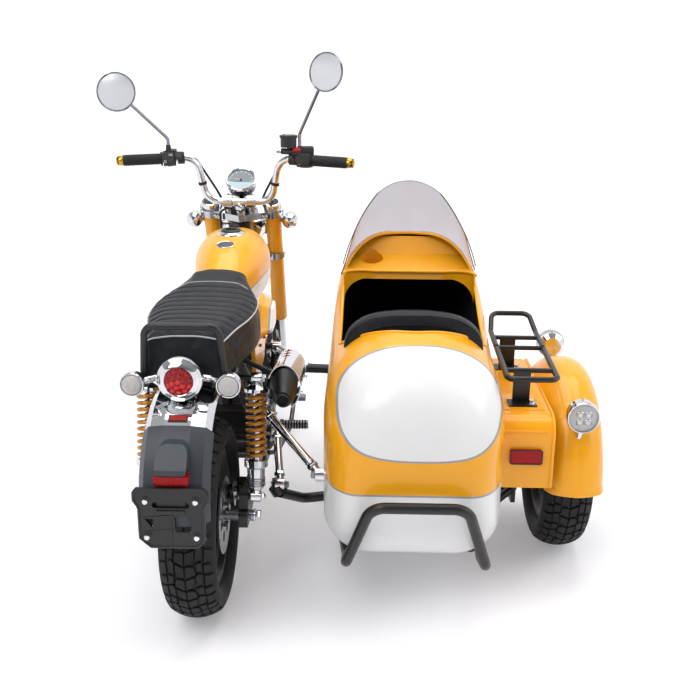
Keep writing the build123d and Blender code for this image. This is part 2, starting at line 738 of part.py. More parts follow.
def chain_loop(grow):
    """A line round both sprockets, outside their radius by grow."""
    rear_r = sprocket_radius + grow
    front_r = engine_sprocket_radius + grow
    rise = engine_z - rear_axle_z
    tilt = math.atan2(rise, engine_y)
    open_angle = math.acos((rear_r - front_r) / math.hypot(engine_y, rise))
    ends = []
    for angle in (tilt + open_angle, tilt - open_angle):
        ends.append(((rear_r * math.cos(angle), rear_axle_z + rear_r * math.sin(angle)),
                     (engine_y + front_r * math.cos(angle), engine_z + front_r * math.sin(angle))))
    front_tip = (engine_y + front_r * math.cos(tilt), engine_z + front_r * math.sin(tilt))
    rear_tip = (-rear_r * math.cos(tilt), rear_axle_z - rear_r * math.sin(tilt))
    with BuildLine() as loop:
        Line(ends[0][0], ends[0][1])
        ThreePointArc(ends[0][1], front_tip, ends[1][1])
        Line(ends[1][1], ends[1][0])
        ThreePointArc(ends[1][0], rear_tip, ends[0][0])
    return loop.line


# Chain: one fixed loop round both sprockets
with BuildPart() as chain:
    with BuildSketch(side(chain_x - chain_width / 2)):
        make_face(chain_loop(10))
        make_face(chain_loop(1), mode=Mode.SUBTRACT)
    extrude(amount=chain_width)
save(chain, "chain")

# Engine: cases with round covers, and a finned cylinder lying forward
cylinder_z = 342
fin_count = 9
with BuildPart() as engine:
    add(plate(side(-60), [(426, 262), (426, 360), (446, 392), (500, 398), (560, 380), (572, 300), (540, 218),
                          (440, 205)], 170, 12))
    add(rod(at(-60, engine_y + 44, 300), at(-98, engine_y + 44, 300), 64))
    add(rod(at(110, 514, 300), at(126, 514, 300), 62))
    add(rod(at(0, 560, cylinder_z - 8), at(0, 716, cylinder_z + 10), 40))
    for index in range(fin_count):
        reach = 580 + index * 13.5
        add(rod(at(0, reach, cylinder_z - 6 + index * 1.5), at(0, reach + 5, cylinder_z - 5.4 + index * 1.5), 62))
    add(plate(side(-44), [(700, 298), (700, 408), (742, 400), (758, 352), (742, 304)], 88, 12))
    with BuildSketch(side(chain_x - chain_width / 2 - 2)):
        make_face(chain_loop(14))
    extrude(amount=chain_width + 4, mode=Mode.SUBTRACT)
    add(rod(at(-58, engine_y + 14, engine_z), at(chain_x - chain_width / 2, engine_y + 14, engine_z), 14))
    add(rod(at(chain_x + 3, engine_y, engine_z), at(chain_x - 3, engine_y, engine_z), engine_sprocket_radius))
    for z in (236, 385):
        add(rod(at(-plate_x + 3, 430, z), at(plate_x - 3, 430, z), 8))
    add(rod(at(20, 500, 395), at(20, 500, 430), 30))
    add(rod(at(0, 556, 360), at(0, 556, 604), 10))
    add(frame.part, mode=Mode.SUBTRACT)
save(engine, "engine")

# Exhaust: header from the cylinder head, high on the right side, into an oval muffler
muffler_x = 202
muffler_half = (33, 48)
muffler_rear = Vector(muffler_x, 16, 575)
muffler_front = Vector(muffler_x - 14, 300, 548)


def muffler_plane(share):
    """A plane across the muffler at a share of its length from its rear end."""
    point = muffler_rear + (muffler_front - muffler_rear) * share
    return Plane(origin=at(point.X, point.Y, point.Z), x_dir=(1, 0, 0), z_dir=(0, 1, -0.12))


muffler_length = (muffler_front - muffler_rear).length
muffler_sections = [
    # share of the length, half width, half height, drop
    (-0.07, 17, 19, 14),
    (-0.02, 21, 26, 11),
    (0.13, muffler_half[0], muffler_half[1], 0),
    (0.80, muffler_half[0], muffler_half[1] - 4, 0),
    (1.00, 22, 26, 0),
]
with BuildPart() as exhaust:
    for share, half_x, half_z, drop in muffler_sections:
        with BuildSketch(muffler_plane(share)):
            with Locations((0, drop)):
                Ellipse(half_x, half_z)
    loft(ruled=True)
    add(tube([at(muffler_x - 14, 296, 549), at(178, 420, 524), at(158, 560, 470), at(112, 690, 380),
              at(72, 722, 262), at(18, 724, 262), at(18, 724, 312)], 15, [60, 60, 40, 22, 16]))
    add(rod(at(muffler_x - 24, 140, 572), at(rail_x, 140, 627), 7))
    add(engine.part, mode=Mode.SUBTRACT)
    add(frame.part, mode=Mode.SUBTRACT)
save(exhaust, "exhaust")

with BuildPart() as heat_shield:
    with BuildSketch(muffler_plane(0.14)):
        Ellipse(muffler_half[0] + 8, muffler_half[1] + 8)
        Ellipse(muffler_half[0] + 6, muffler_half[1] + 6, mode=Mode.SUBTRACT)
        Polygon((0, 0), (-160, -94), (-160, 200), (75, 200), align=None, mode=Mode.SUBTRACT)
    extrude(amount=muffler_length * 0.72)
    with Locations([at(muffler_x + 30, 80 + 40 * step, 572 - 5 * step) for step in range(5)]):
        Box(60, 24, 9, mode=Mode.SUBTRACT)
    with Locations([at(muffler_x - 6, 176 + 32 * step, 620) for step in range(3)]):
        Box(18, 12, 60, mode=Mode.SUBTRACT)
    for share, lift in ((0.2, -20), (0.7, -20)):
        spot = muffler_plane(share).origin + Vector(0, 0, lift)
        add(rod(spot, spot + Vector(muffler_half[0] + 5, 0, 0), 6))
    add(exhaust.part, mode=Mode.SUBTRACT)
save(heat_shield, "heat_shield")

# Fuel tank: sections along the machine
tank_rear_y = 400
tank_length = head_mid.Y - 113 - tank_rear_y
tank_sections = [
    # share of the length, half width, bottom, top
    (0.000, 50, 668, 766),
    (0.219, 78, 644, 802),
    (0.519, 102, 626, 832),
    (0.792, 106, 632, 838),
    (1.000, 66, 664, 820),
]
with BuildPart() as fuel_tank:
    for share, half, bottom, top in tank_sections:
        with BuildSketch(across(tank_rear_y + share * tank_length)):
            with Locations((0, (bottom + top) / 2)):
                RectangleRounded(2 * half, top - bottom, min(half, (top - bottom) / 2) * 0.86)
    loft()
    add(tube([at(0, head_mid.Y, head_mid.Z), at(0, spine_front_y, 640), at(0, spine_knee_y, 604), at(0, 380, 580)],
             spine_radius + running_gap, 60), mode=Mode.SUBTRACT)
save(fuel_tank, "fuel_tank")

cap_y = tank_rear_y + 0.623 * tank_length
cap_z = 829
with BuildPart() as tank_cap:
    add(turned(at(0, cap_y, cap_z), (0, -0.04, 1), [(0, 0), (38, 0), (38, 6), (30, 12), (24, 16), (0, 17)]))
    add(fuel_tank.part, mode=Mode.SUBTRACT)
save(tank_cap, "tank_cap")

# Seat: a soft piece, with a narrow nose over the tank's tail
seat_sections = [
    # y, half width, bottom, top
    (-122, 92, 656, 758),
    (-50, 106, 656, 764),
    (80, 132, 656, 762),
    (200, 133, 656, 764),
    (300, 104, 662, 774),
    (386, 78, 676, 788),
]
with BuildPart() as seat:
    for y, half, bottom, top in seat_sections:
        with BuildSketch(across(y)):
            with Locations((0, (bottom + top) / 2)):
                RectangleRounded(2 * half, top - bottom, 30)
    loft()
save(seat, "seat")

grab_radius = 8
with BuildPart() as grab_rail:
    add(tube([at(-(rail_x + 30), 0, 636), at(-(rail_x + 30), -136, 640), at(-80, -152, 784), at(80, -152, 784),
              at(rail_x + 30, -136, 640), at(rail_x + 30, 0, 636)], grab_radius, [24, 24, 24, 24]))
    for sign in (-1, 1):
        add(rod(at(sign * (rail_x + rail_radius), -14, 637), at(sign * (rail_x + 30), -14, 637), 7))
    add(frame.part, mode=Mode.SUBTRACT)
save(grab_rail, "grab_rail")

# Side covers under the seat: a flat panel with a raised shoulder beside the seat's nose
cover_x = 107
cover_depth = 10
shoulder_x = 148
cover_outline = [(196, 560), (180, 634), (214, 651), (298, 651), (336, 704), (416, 714), (446, 662), (430, 600),
                 (388, 540), (260, 520)]
shoulder_foot = [(250, 620), (292, 648), (340, 700), (412, 708), (440, 662), (424, 620)]
shoulder_face = [(296, 632), (318, 650), (350, 688), (402, 694), (422, 662), (412, 632)]
with BuildPart() as side_covers:
    for sign in (-1, 1):
        add(plate(side(sign * (cover_x + cover_depth / 2) - cover_depth / 2), cover_outline, cover_depth, 14))
        with BuildSketch(side(sign * (cover_x + cover_depth - 1))) as foot:
            Polygon(*shoulder_foot, align=None)
            fillet(foot.vertices(), radius=12)
        with BuildSketch(side(sign * shoulder_x)) as face:
            Polygon(*shoulder_face, align=None)
            fillet(face.vertices(), radius=8)
        loft()
        add(rod(at(sign * (rail_x + rail_radius - 6), 300, 622), at(sign * (cover_x + 1), 300, 622), 8))
    add(frame.part, mode=Mode.SUBTRACT)
save(side_covers, "side_covers")

# Rear fender, mudguard and plate bracket
with BuildPart() as rear_fender:
    add(guard(guard_y, guard_z, guard_radius, 72, 2, -44, 36, 14))
save(rear_fender, "rear_fender")

hood_low = 515
with BuildPart() as hood:
    add(plate(side(-40), [(-262, hood_low), (-262, hood_low + 58), (-290, hood_low + 58), (-337, hood_low + 14),
                          (-337, hood_low)], 80, 6))
    with BuildSketch(across(-250)):
        with Locations((0, hood_low + 25)):
            RectangleRounded(66, 62, 20)
    extrude(amount=100, mode=Mode.INTERSECT)
with BuildPart() as mudguard:
    add(guard(guard_y, guard_z, guard_radius, 76, 3, 36.1, 92, 22))
    add(hood.part)
    add(rod(at(-40, guard_y, guard_z), at(40, guard_y, guard_z), guard_radius), mode=Mode.SUBTRACT)
save(mudguard, "mudguard")

bracket_y = -338
plate_holes_x = 52
plate_holes_z = (383, 465)
with BuildPart() as plate_bracket:
    with BuildSketch(across(bracket_y)) as face:
        Polygon((-72, 494), (72, 494), (80, 484), (80, 464), (70, 452), (70, 372), (54, 356), (-46, 356),
                (-70, 378), (-70, 452), (-80, 464), (-80, 484), align=None)
        fillet(face.vertices(), radius=5)
        with Locations((0, 456)):
            SlotOverall(78, 14, mode=Mode.SUBTRACT)
        with Locations((24, 412)):
            RectangleRounded(34, 36, 5, mode=Mode.SUBTRACT)
        Polygon((-56, 424), (-38, 424), (-40, 402), align=None, mode=Mode.SUBTRACT)
        for z in plate_holes_z:
            with Locations((-plate_holes_x, z), (plate_holes_x, z)):
                Circle(3.2, mode=Mode.SUBTRACT)
    extrude(amount=6)
    with Locations(at(0, bracket_y + 9, 452)):
        Box(60, 18, 30)
    add(mudguard.part, mode=Mode.SUBTRACT)
save(plate_bracket, "plate_bracket")

# Rear lamp and indicators
tail_y = -186
tail_z = 678
rear_indicator_x = 104
rear_indicator_y = -178
rear_indicator_z = 664
with BuildPart() as rear_lamps:
    add(turned(at(0, tail_y, tail_z), (0, -1, 0), [(0, -56), (30, -54), (42, -40), (47, -14), (48, 8), (44, 12),
                                                   (40, 10), (40, 4), (0, 4)]))
    for sign in (-1, 1):
        add(turned(at(sign * rear_indicator_x, rear_indicator_y, rear_indicator_z), (0, -1, 0), indicator_profile))
        add(tube([at(sign * 30, tail_y + 36, tail_z - 8), at(sign * 62, tail_y + 34, tail_z - 12),
                  at(sign * (rear_indicator_x - 8), rear_indicator_y, rear_indicator_z)], 8, 14))
    add(rod(at(0, tail_y + 40, tail_z - 30), at(0, -104, 641), 8))
    add(frame.part, mode=Mode.SUBTRACT)
save(rear_lamps, "rear_lamps")

with BuildPart() as red_lenses:
    add(turned(at(0, tail_y, tail_z), (0, -1, 0), [(0, 4 + seat_fit), (39.8, 4 + seat_fit), (39.8, 10), (32, 20),
                                                   (14, 27), (0, 28)]))
    with BuildSketch(across(-306)):
        with Locations((0, hood_low - seat_fit - 10)):
            Rectangle(72, 20)
    extrude(amount=28)
    add(rod(at(-40, guard_y, guard_z), at(40, guard_y, guard_z), guard_radius + 9 + seat_fit), mode=Mode.SUBTRACT)
    with BuildSketch(across(deck_rear_y - seat_fit)):
        with Locations((800, 387)):
            RectangleRounded(79, 37, 5)
    extrude(amount=8)
save(red_lenses, "red_lenses")

# Foot controls
with BuildPart() as foot_controls:
    for sign in (-1, 1):
        add(rod(at(sign * (plate_x + 3), 400, 262), at(sign * 158, 446, 310), 9))
        add(rod(at(sign * 152, 452, 312), at(sign * 232, 456, 312), 12))
    add(tube([at(plate_x + 3, 412, 240), at(146, 424, 240), at(172, 560, 262), at(176, 650, 314)], 7, [14, 60]))
    with Locations(at(186, 652, 320)):
        Box(52, 34, 10)
    add(tube([at(-98 - seat_fit, engine_y + 60, 286), at(-134, engine_y + 60, 286), at(-150, 600, 300),
              at(-150, 640, 306)], 6, [14, 30]))
    add(rod(at(-150, 632, 305), at(-192, 632, 305), 9))
    add(frame.part, mode=Mode.SUBTRACT)
save(foot_controls, "foot_controls")

with BuildPart() as rear_caliper:
    add(plate(side(disc_side - 12), [(44, 318), (84, 300), (112, 262), (84, 236), (50, 262), (28, 296)], 30, 8))
    add(rod(at(disc_side - 12, 0, rear_axle_z), at(disc_side + 30, 0, rear_axle_z), disc_radius - 32),
        mode=Mode.SUBTRACT)
    add(rod(at(disc_side - 3, 0, rear_axle_z), at(disc_side + disc_thickness + 3, 0, rear_axle_z),
            disc_radius + 5), mode=Mode.SUBTRACT)
    add(plate(side(disc_side + 17), [(84, 300), (112, 262), (150, 268), (150, 290)],
              arm_inner_x - disc_side - 17 - seat_fit, 6))
save(rear_caliper, "rear_caliper")

# Side stand, swung down and forward off the floor in its parked place along the frame
stand_y = 424
stand_z = 236
with BuildPart() as side_stand:
    add(rod(at(-plate_x - 3 - running_gap, stand_y, stand_z), at(-plate_x - 18, stand_y, stand_z), 14))
    add(tube([at(-plate_x - 14, stand_y, stand_z), at(-150, 344, 202), at(-158, 246, 184)], 9, 40))
    add(plate(side(-172), [(254, 192), (240, 192), (226, 168), (244, 164)], 30, 3))
save(side_stand, "side_stand")

# Sidecar body: sections along the machine
tub_sections = [
    # y, half width, bottom, top, lower rounding, upper rounding
    (-118, 130, 262, 520, 90, 100),
    (-92, 178, 218, 604, 100, 150),
    (-30, 208, 184, 664, 96, 180),
    (100, 219, floor_z, 702, 90, 190),
    (320, 216, 168, 712, 84, 160),
    (560, 207, 166, 768, 80, 110),
    (740, 190, 168, 822, 76, 130),
    (900, 160, 184, 760, 80, 130),
    (1060, 126, 222, 620, 84, 110),
    (1180, 74, 290, 480, 60, 60),
]


def tub(inset):
    """The sidecar body's hull, smaller all round by an inset."""
    with BuildPart() as hull:
        last = len(tub_sections) - 1
        for index, (y, half, bottom, top, low_round, top_round) in enumerate(tub_sections):
            shift = inset if index == 0 else -inset if index == last else 0
            with BuildSketch(across(y + shift)):
                with BuildLine():
                    left = car_x - half + inset
                    right = car_x + half - inset
                    turns = [low_round - inset, low_round - inset, top_round - inset, top_round - inset]
                    FilletPolyline((left, bottom + inset), (right, bottom + inset), (right, top - inset),
                                   (left, top - inset), radius=turns, close=True)
                make_face()
        loft()
    return hull.part


def cockpit_outline(grow):
    """The cockpit's opening seen from above."""
    half = cockpit_half_width + grow
    rear = cockpit_rear_y - grow
    front = cockpit_front_y + grow
    with BuildLine() as outline:
        Line((car_x - half, rear + 120), (car_x - half, front - 150))
        ThreePointArc((car_x - half, front - 150), (car_x, front), (car_x + half, front - 150))
        Line((car_x + half, front - 150), (car_x + half, rear + 120))
        ThreePointArc((car_x + half, rear + 120), (car_x, rear), (car_x - half, rear + 120))
    return outline.line


outer_hull = tub(0)
inner_hull = tub(shell)

# The moulded bench inside, open underneath
bench_z = 256
with BuildPart() as bench:
    with BuildSketch(side(car_x - 230)):
        Polygon((180, bench_z - shell), (180, bench_z), (484, bench_z), (484, 150), (484 - shell, 150),
                (484 - shell, bench_z - shell), align=None)
    extrude(amount=460)
    add(outer_hull, mode=Mode.INTERSECT)

with BuildPart() as sidecar_body:
    add(outer_hull)
    add(inner_hull, mode=Mode.SUBTRACT)
    with BuildSketch(level(520)):
        make_face(cockpit_outline(0))
    extrude(amount=400, mode=Mode.SUBTRACT)
    add(bench.part)
save(sidecar_body, "sidecar_body")

# Dashboard: a sloped shelf with a cup holder, closing the front of the opening
cup_x = car_x - 107
cup_y = 680
cup_inner = 34
cup_floor = 712
with BuildPart() as cup:
    add(rod(at(cup_x, cup_y, cup_floor), at(cup_x, cup_y, 800), cup_inner + 4))
    with BuildSketch(side(car_x - 220)):
        Polygon((dash_rear_y, 700), (dash_rear_y + 4, 734), (706, 764), (cockpit_front_y, 812),
                (cockpit_front_y, 700), align=None)
    extrude(amount=440, mode=Mode.INTERSECT)
with BuildPart() as dashboard:
    with BuildSketch(side(car_x - 220)):
        Polygon((dash_rear_y, 712), (dash_rear_y + 4, 734), (706, 764), (cockpit_front_y, 812),
                (cockpit_front_y, 805), (710, 756), (dash_rear_y + 16, 728), (dash_rear_y + 8, 712), align=None)
    extrude(amount=440)
    add(tub(shell + running_gap), mode=Mode.INTERSECT)
    add(cup.part)
    add(rod(at(cup_x, cup_y, cup_floor + 4), at(cup_x, cup_y, 800), cup_inner), mode=Mode.SUBTRACT)
save(dashboard, "dashboard")

# Seat inside the sidecar: soft pieces
with BuildPart() as seat_cushion:
    with BuildSketch(level(bench_z + running_gap)):
        with Locations((car_x, 330)):
            RectangleRounded(330, 300, 50)
    extrude(amount=124)
save(seat_cushion, "seat_cushion")

with BuildPart() as seat_back:
    with BuildSketch(Plane(origin=at(car_x, 172, 392), x_dir=(1, 0, 0), z_dir=(0, -1, -0.1))):
        with BuildLine():
            Line((-160, 0), (160, 0))
            Line((160, 0), (172, 210))
            ThreePointArc((172, 210), (0, 352), (-172, 210))
            Line((-172, 210), (-160, 0))
        make_face()
    extrude(amount=-50)
    add(sidecar_body.part, mode=Mode.SUBTRACT)
save(seat_back, "seat_back")

# Windscreen: a curved sheet round the front of the opening
with BuildPart() as windscreen:
    for z, half, rear, front in ((752, 188, 548, 752), (1000, 112, 640, 716)):
        with BuildSketch(level(z)):
            with BuildLine():
                outer = ThreePointArc((car_x - half, rear), (car_x, front), (car_x + half, rear))
                inner = ThreePointArc((car_x + half - screen_thickness, rear), (car_x, front - screen_thickness),
                                      (car_x - half + screen_thickness, rear))
                Line(outer @ 1, inner @ 0)
                Line(inner @ 1, outer @ 0)
            make_face()
    loft(ruled=True)
    with BuildSketch(across(900)):
        with BuildLine():
            Line((car_x - 210, 700), (car_x + 210, 700))
            Line((car_x + 210, 700), (car_x + 188, 764))
            ThreePointArc((car_x + 188, 764), (car_x + 135, 890), (car_x + 91, 948))
            ThreePointArc((car_x + 91, 948), (car_x, 980), (car_x - 91, 948))
            ThreePointArc((car_x - 91, 948), (car_x - 135, 890), (car_x - 188, 764))
            Line((car_x - 188, 764), (car_x - 210, 700))
        make_face()
    extrude(amount=500, mode=Mode.INTERSECT)
    add(outer_hull, mode=Mode.SUBTRACT)
    add(dashboard.part, mode=Mode.SUBTRACT)
save(windscreen, "windscreen")

# Sidecar chassis: rails under the body, arms to the motorcycle and to the wheel
rail_z = floor_z - chassis_tube + 2
car_rail_x = (362, 668)
arm_z = 436
with BuildPart() as sidecar_frame:
    for x in car_rail_x:
        add(tube([at(x, 40, rail_z), at(x, 860, rail_z), at(car_x, 1000, rail_z + 6)], chassis_tube, 60))
    for y in (160, 560, 820):
        add(rod(at(car_rail_x[0], y, rail_z), at(car_rail_x[1], y, rail_z), chassis_tube - 2))
    add(tube([at(car_rail_x[0], 330, rail_z), at(230, 300, rail_z - 4), at(172, 216, 212)], chassis_tube - 2, 40))
    add(rod(at(172, 216, 212), at(160, 216, 232), 22))
    add(rod(at(199, 597, arm_z), at(car_x - 190, 588, arm_z), chassis_tube - 2))
    add(rod(at(car_x - 220, 590, arm_z), at(car_x - 190, 590, arm_z), 2 * chassis_tube))
    add(rod(at(car_rail_x[1], car_wheel_y, rail_z), at(car_wheel_x + stub_start + 6, car_wheel_y, rail_z),
            chassis_tube))
    add(rod(at(car_rail_x[1], 160, rail_z), at(car_wheel_x + stub_start + 2, car_wheel_y, rail_z),
            chassis_tube - 4))
    add(plate(side(car_wheel_x + stub_start - 6),
              [(car_wheel_y - 26, 118), (car_wheel_y - 26, car_axle_z + 26),
               (car_wheel_y + 26, car_axle_z + 26), (car_wheel_y + 26, 118)], 12, 12))
    add(rod(at(car_wheel_x + stub_start, car_wheel_y, car_axle_z),
            at(car_wheel_x + stub_start + 60, car_wheel_y, car_axle_z), 16 + seat_fit), mode=Mode.SUBTRACT)
    add(outer_hull, mode=Mode.SUBTRACT)
save(sidecar_frame, "sidecar_frame")

bumper_radius = 13
with BuildPart() as rear_bumper:
    add(tube([at(car_rail_x[0] - 30, 200, rail_z), at(357, 0, rail_z - 6), at(357, -100, 188), at(414, -168, 368),
              at(634, -168, 368), at(690, -100, 184), at(690, 0, rail_z - 6), at(car_rail_x[1] + 30, 200, rail_z)],
             bumper_radius, [60, 40, 45, 45, 40, 60]))
    add(sidecar_frame.part, mode=Mode.SUBTRACT)
    add(outer_hull, mode=Mode.SUBTRACT)
save(rear_bumper, "rear_bumper")

# Chrome tie rods: front and rear struts, with eyes
rods_table = [
    # start x, y, z, end x, y, z
    (lug_end + 24, 194, 463, 288, 60, 340),
    (lug_end + 12, hanger_y, 470, 211, 602, arm_z + 4),
    (lug_end + 42, 362, 336, 172, 216, 236),
]
with BuildPart() as tie_rods:
    for ax, ay, az, bx, by, bz in rods_table:
        add(rod(at(ax, ay, az), at(bx, by, bz), 11))
        for x, y, z in ((ax, ay, az), (bx, by, bz)):
            add(rod(at(x - 12, y, z), at(x + 12, y, z), 17))
    add(sidecar_frame.part, mode=Mode.SUBTRACT)
    add(outer_hull, mode=Mode.SUBTRACT)
    add(frame.part, mode=Mode.SUBTRACT)
save(tie_rods, "tie_rods")

# Wheel fender with its inner deck; the crown's rows are measured across its arch
fender_start = 84
fender_end = -80
crown_radius = 288
crown_middle = car_wheel_x + 4
crown_rows = [
    # inner edge, quarter way, middle, quarter way, outer edge: x from the crown's middle, drop below the crown
    [(-75, 50), (-56, 18), (0, 0), (57, 19), (76, 58)],
    [(-71, 50), (-53, 21), (0, 4), (54, 22), (72, 58)],
]
with BuildPart() as car_fender:
    first = math.radians(fender_start)
    radial = Vector(0, -math.sin(first), math.cos(first))
    with BuildSketch(Plane(origin=at(crown_middle, car_wheel_y, car_axle_z), x_dir=(1, 0, 0),
                           z_dir=Vector(1, 0, 0).cross(radial))):
        outer, inner = [[(x, crown_radius - drop) for x, drop in row] for row in crown_rows]
        skirt = crown_radius - 82
        with BuildLine():
            ThreePointArc(outer[0], outer[1], outer[2])
            ThreePointArc(outer[2], outer[3], outer[4])
            Polyline(outer[4], (outer[4][0], skirt), (inner[4][0], skirt), inner[4])
            ThreePointArc(inner[4], inner[3], inner[2])
            ThreePointArc(inner[2], inner[1], inner[0])
            Polyline(inner[0], (inner[0][0], skirt), (outer[0][0], skirt), outer[0])
        make_face()
    revolve(axis=Axis(at(0, car_wheel_y, car_axle_z), (1, 0, 0)), revolution_arc=fender_end - fender_start)
    with BuildSketch(side(714)):
        with BuildLine():
            FilletPolyline((deck_rear_y, 300), (deck_rear_y, deck_z), (610, deck_z), (610, 300), radius=[46, 60])
            FilletPolyline((610, 300), (606, 300), (606, deck_z - deck_wall),
                           (deck_rear_y + deck_wall, deck_z - deck_wall), (deck_rear_y + deck_wall, 300),
                           (deck_rear_y, 300), radius=[0, 56, 42, 0])
        make_face()
    extrude(amount=154)
    add(outer_hull, mode=Mode.SUBTRACT)
save(car_fender, "car_fender")

# Luggage rack: a tube loop raised at its front, cross bars, and two flat brackets with feet on the deck
rack_z = 570
rack_bars = (215, 405, 500)
rack_brackets = (215, 500)
bracket_x = 798
with BuildPart() as luggage_rack:
    add(tube([at(757, 556, rack_z), at(752, 145, rack_z), at(878, 145, rack_z), at(886, 556, rack_z)],
             rack_tube, [24, 24]))
    add(tube([at(757, 556, rack_z), at(765, 628, rack_z + 36), at(874, 628, rack_z + 36), at(886, 556, rack_z)],
             rack_tube, [24, 24]))
    with Locations(at(757, 556, rack_z), at(886, 556, rack_z)):
        Sphere(rack_tube + 0.3)
    for y in rack_bars:
        add(rod(at(755, y, rack_z), at(881, y, rack_z), rack_tube - 1))
    for y in rack_brackets:
        with BuildSketch(across(y)):
            with Locations((bracket_x, (deck_z + seat_fit + rack_z) / 2)):
                Rectangle(44, rack_z - deck_z - seat_fit)
        extrude(amount=6)
        with Locations(at(bracket_x, y - 24, deck_z + seat_fit + 3)):
            Box(72, 48, 6)
save(luggage_rack, "luggage_rack")

lamp_drum = [(0, -34), (26, -32), (38, -22), (40, 0), (40, 10), (36, 12), (36, 6), (0, 6)]
fender_lamps_table = [
    # y, z, facing
    (130, 480, -1),
    (610, 520, 1),
]
fender_lamp_x = 942
with BuildPart() as fender_lamps:
    for y, z, facing in fender_lamps_table:
        add(turned(at(fender_lamp_x, y, z), (0, facing, 0), lamp_drum))
        add(rod(at(fender_lamp_x, y - facing * 12, z - 20), at(fender_lamp_x, y - facing * 30, z - 90), 9))
    add(rod(at(fender_lamp_x - 60, car_wheel_y, car_axle_z), at(fender_lamp_x + 60, car_wheel_y, car_axle_z),
            crown_radius), mode=Mode.SUBTRACT)
    add(car_fender.part, mode=Mode.SUBTRACT)
save(fender_lamps, "fender_lamps")

with BuildPart() as clear_lenses:
    for y, z, facing in fender_lamps_table:
        add(turned(at(fender_lamp_x, y, z), (0, facing, 0),
                   [(0, 6 + seat_fit), (35.8, 6 + seat_fit), (35.8, 11), (20, 18), (0, 20)]))
    for sign in (-1, 1):
        add(turned(at(sign * rear_indicator_x, rear_indicator_y, rear_indicator_z), (0, -1, 0), indicator_lens))
save(clear_lenses, "clear_lenses")
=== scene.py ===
import bpy
import bmesh
import math
import numpy as np
from mathutils import Vector, Matrix


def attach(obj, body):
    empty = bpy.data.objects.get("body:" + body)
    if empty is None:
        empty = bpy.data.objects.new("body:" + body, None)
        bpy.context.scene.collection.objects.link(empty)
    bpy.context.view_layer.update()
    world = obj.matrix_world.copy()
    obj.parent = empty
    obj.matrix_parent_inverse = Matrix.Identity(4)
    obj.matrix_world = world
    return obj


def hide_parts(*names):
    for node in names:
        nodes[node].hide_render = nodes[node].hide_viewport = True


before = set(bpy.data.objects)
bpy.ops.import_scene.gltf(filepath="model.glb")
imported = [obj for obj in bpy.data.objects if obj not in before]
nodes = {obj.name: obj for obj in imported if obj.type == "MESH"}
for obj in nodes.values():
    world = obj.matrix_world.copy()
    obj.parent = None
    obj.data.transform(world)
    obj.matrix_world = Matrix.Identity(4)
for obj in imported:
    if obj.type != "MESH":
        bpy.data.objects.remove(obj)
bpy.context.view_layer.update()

MM = 0.001
# Where the drawing's zero lies in the frame, in millimetres: the bike's middle plane, rear axle and base line
ZERO = (-315.0, -536.0, -10.0)


def at(x, y, z):
    """A point in the drawing's millimetres as metres in the frame."""
    return Vector((x + ZERO[0], y + ZERO[1], z + ZERO[2])) * MM


def drawn(point):
    """A point of the frame in the drawing's millimetres."""
    return point / MM - Vector(ZERO)


def move(x, y, z):
    """A step in millimetres."""
    return Vector((x, y, z)) * MM


# Materials
def colour(code):
    """An sRGB hex colour as linear RGBA."""
    values = [int(code[i:i + 2], 16) / 255 for i in (1, 3, 5)]
    return [v / 12.92 if v <= 0.04045 else ((v + 0.055) / 1.055) ** 2.4 for v in values] + [1.0]


def shade(tree, kind, inputs=None, stops=None, **settings):
    """Add a shader node with its settings, and give its inputs values or links."""
    made = tree.nodes.new("ShaderNode" + kind)
    for key, value in settings.items():
        setattr(made, key, value)
    if stops:
        ramp = made.color_ramp
        while len(ramp.elements) > len(stops):
            ramp.elements.remove(ramp.elements[-1])
        while len(ramp.elements) < len(stops):
            ramp.elements.new(1.0)
        for element, (place, tint) in zip(ramp.elements, stops):
            element.position = place
            element.color = tint
    for key, value in (inputs or {}).items():
        if isinstance(value, bpy.types.NodeSocket):
            tree.links.new(value, made.inputs[key])
        else:
            made.inputs[key].default_value = value
    return made


def start_material(name, **sockets):
    """A new material with a Principled shader whose even values are set on its own sockets."""
    made = bpy.data.materials.new(name)
    made.use_nodes = True
    tree = made.node_tree
    tree.nodes.clear()
    shader = shade(tree, "BsdfPrincipled", sockets)
    shade(tree, "OutputMaterial", {"Surface": shader.outputs[0]})
    place = shade(tree, "TexCoord").outputs["Object"]
    return made, tree, shader, place


def calc(tree, operation, *values):
    """One step of arithmetic between values or links."""
    return shade(tree, "Math", dict(enumerate(values)), operation=operation).outputs[0]


def grain(tree, place, size, detail):
    """Noise whose features are about size millimetres across."""
    made = shade(tree, "TexNoise", {"Vector": place, "Scale": 1 / (size * MM), "Detail": detail})
    return made.outputs["Fac"]


def spread(tree, value, low, high):
    """Map a 0 to 1 value on to a range."""
    return shade(tree, "MapRange", {"Value": value, "To Min": low, "To Max": high}).outputs[0]


def relief(tree, shader, height, depth):
    """Bump of a depth in millimetres."""
    made = shade(tree, "Bump", {"Height": height, "Distance": depth * MM, "Strength": 1.0})
    tree.links.new(made.outputs[0], shader.inputs["Normal"])


def mixed(tree, share, first, second):
    """One colour over another by a share."""
    made = shade(tree, "Mix", data_type="RGBA")
    for socket, value in ((made.inputs[0], share), (made.inputs[6], first), (made.inputs[7], second)):
        if isinstance(value, bpy.types.NodeSocket):
            tree.links.new(value, socket)
        else:
            socket.default_value = value
    return made.outputs[2]


def tinted(tree, shader, share, tints):
    """Vary the base colour between two sRGB colours."""
    both = [colour(code) for code in tints]
    tree.links.new(mixed(tree, share, *both), shader.inputs["Base Color"])


def roughened(tree, shader, share, low, high):
    """Vary the roughness over a range."""
    tree.links.new(spread(tree, share, low, high), shader.inputs["Roughness"])


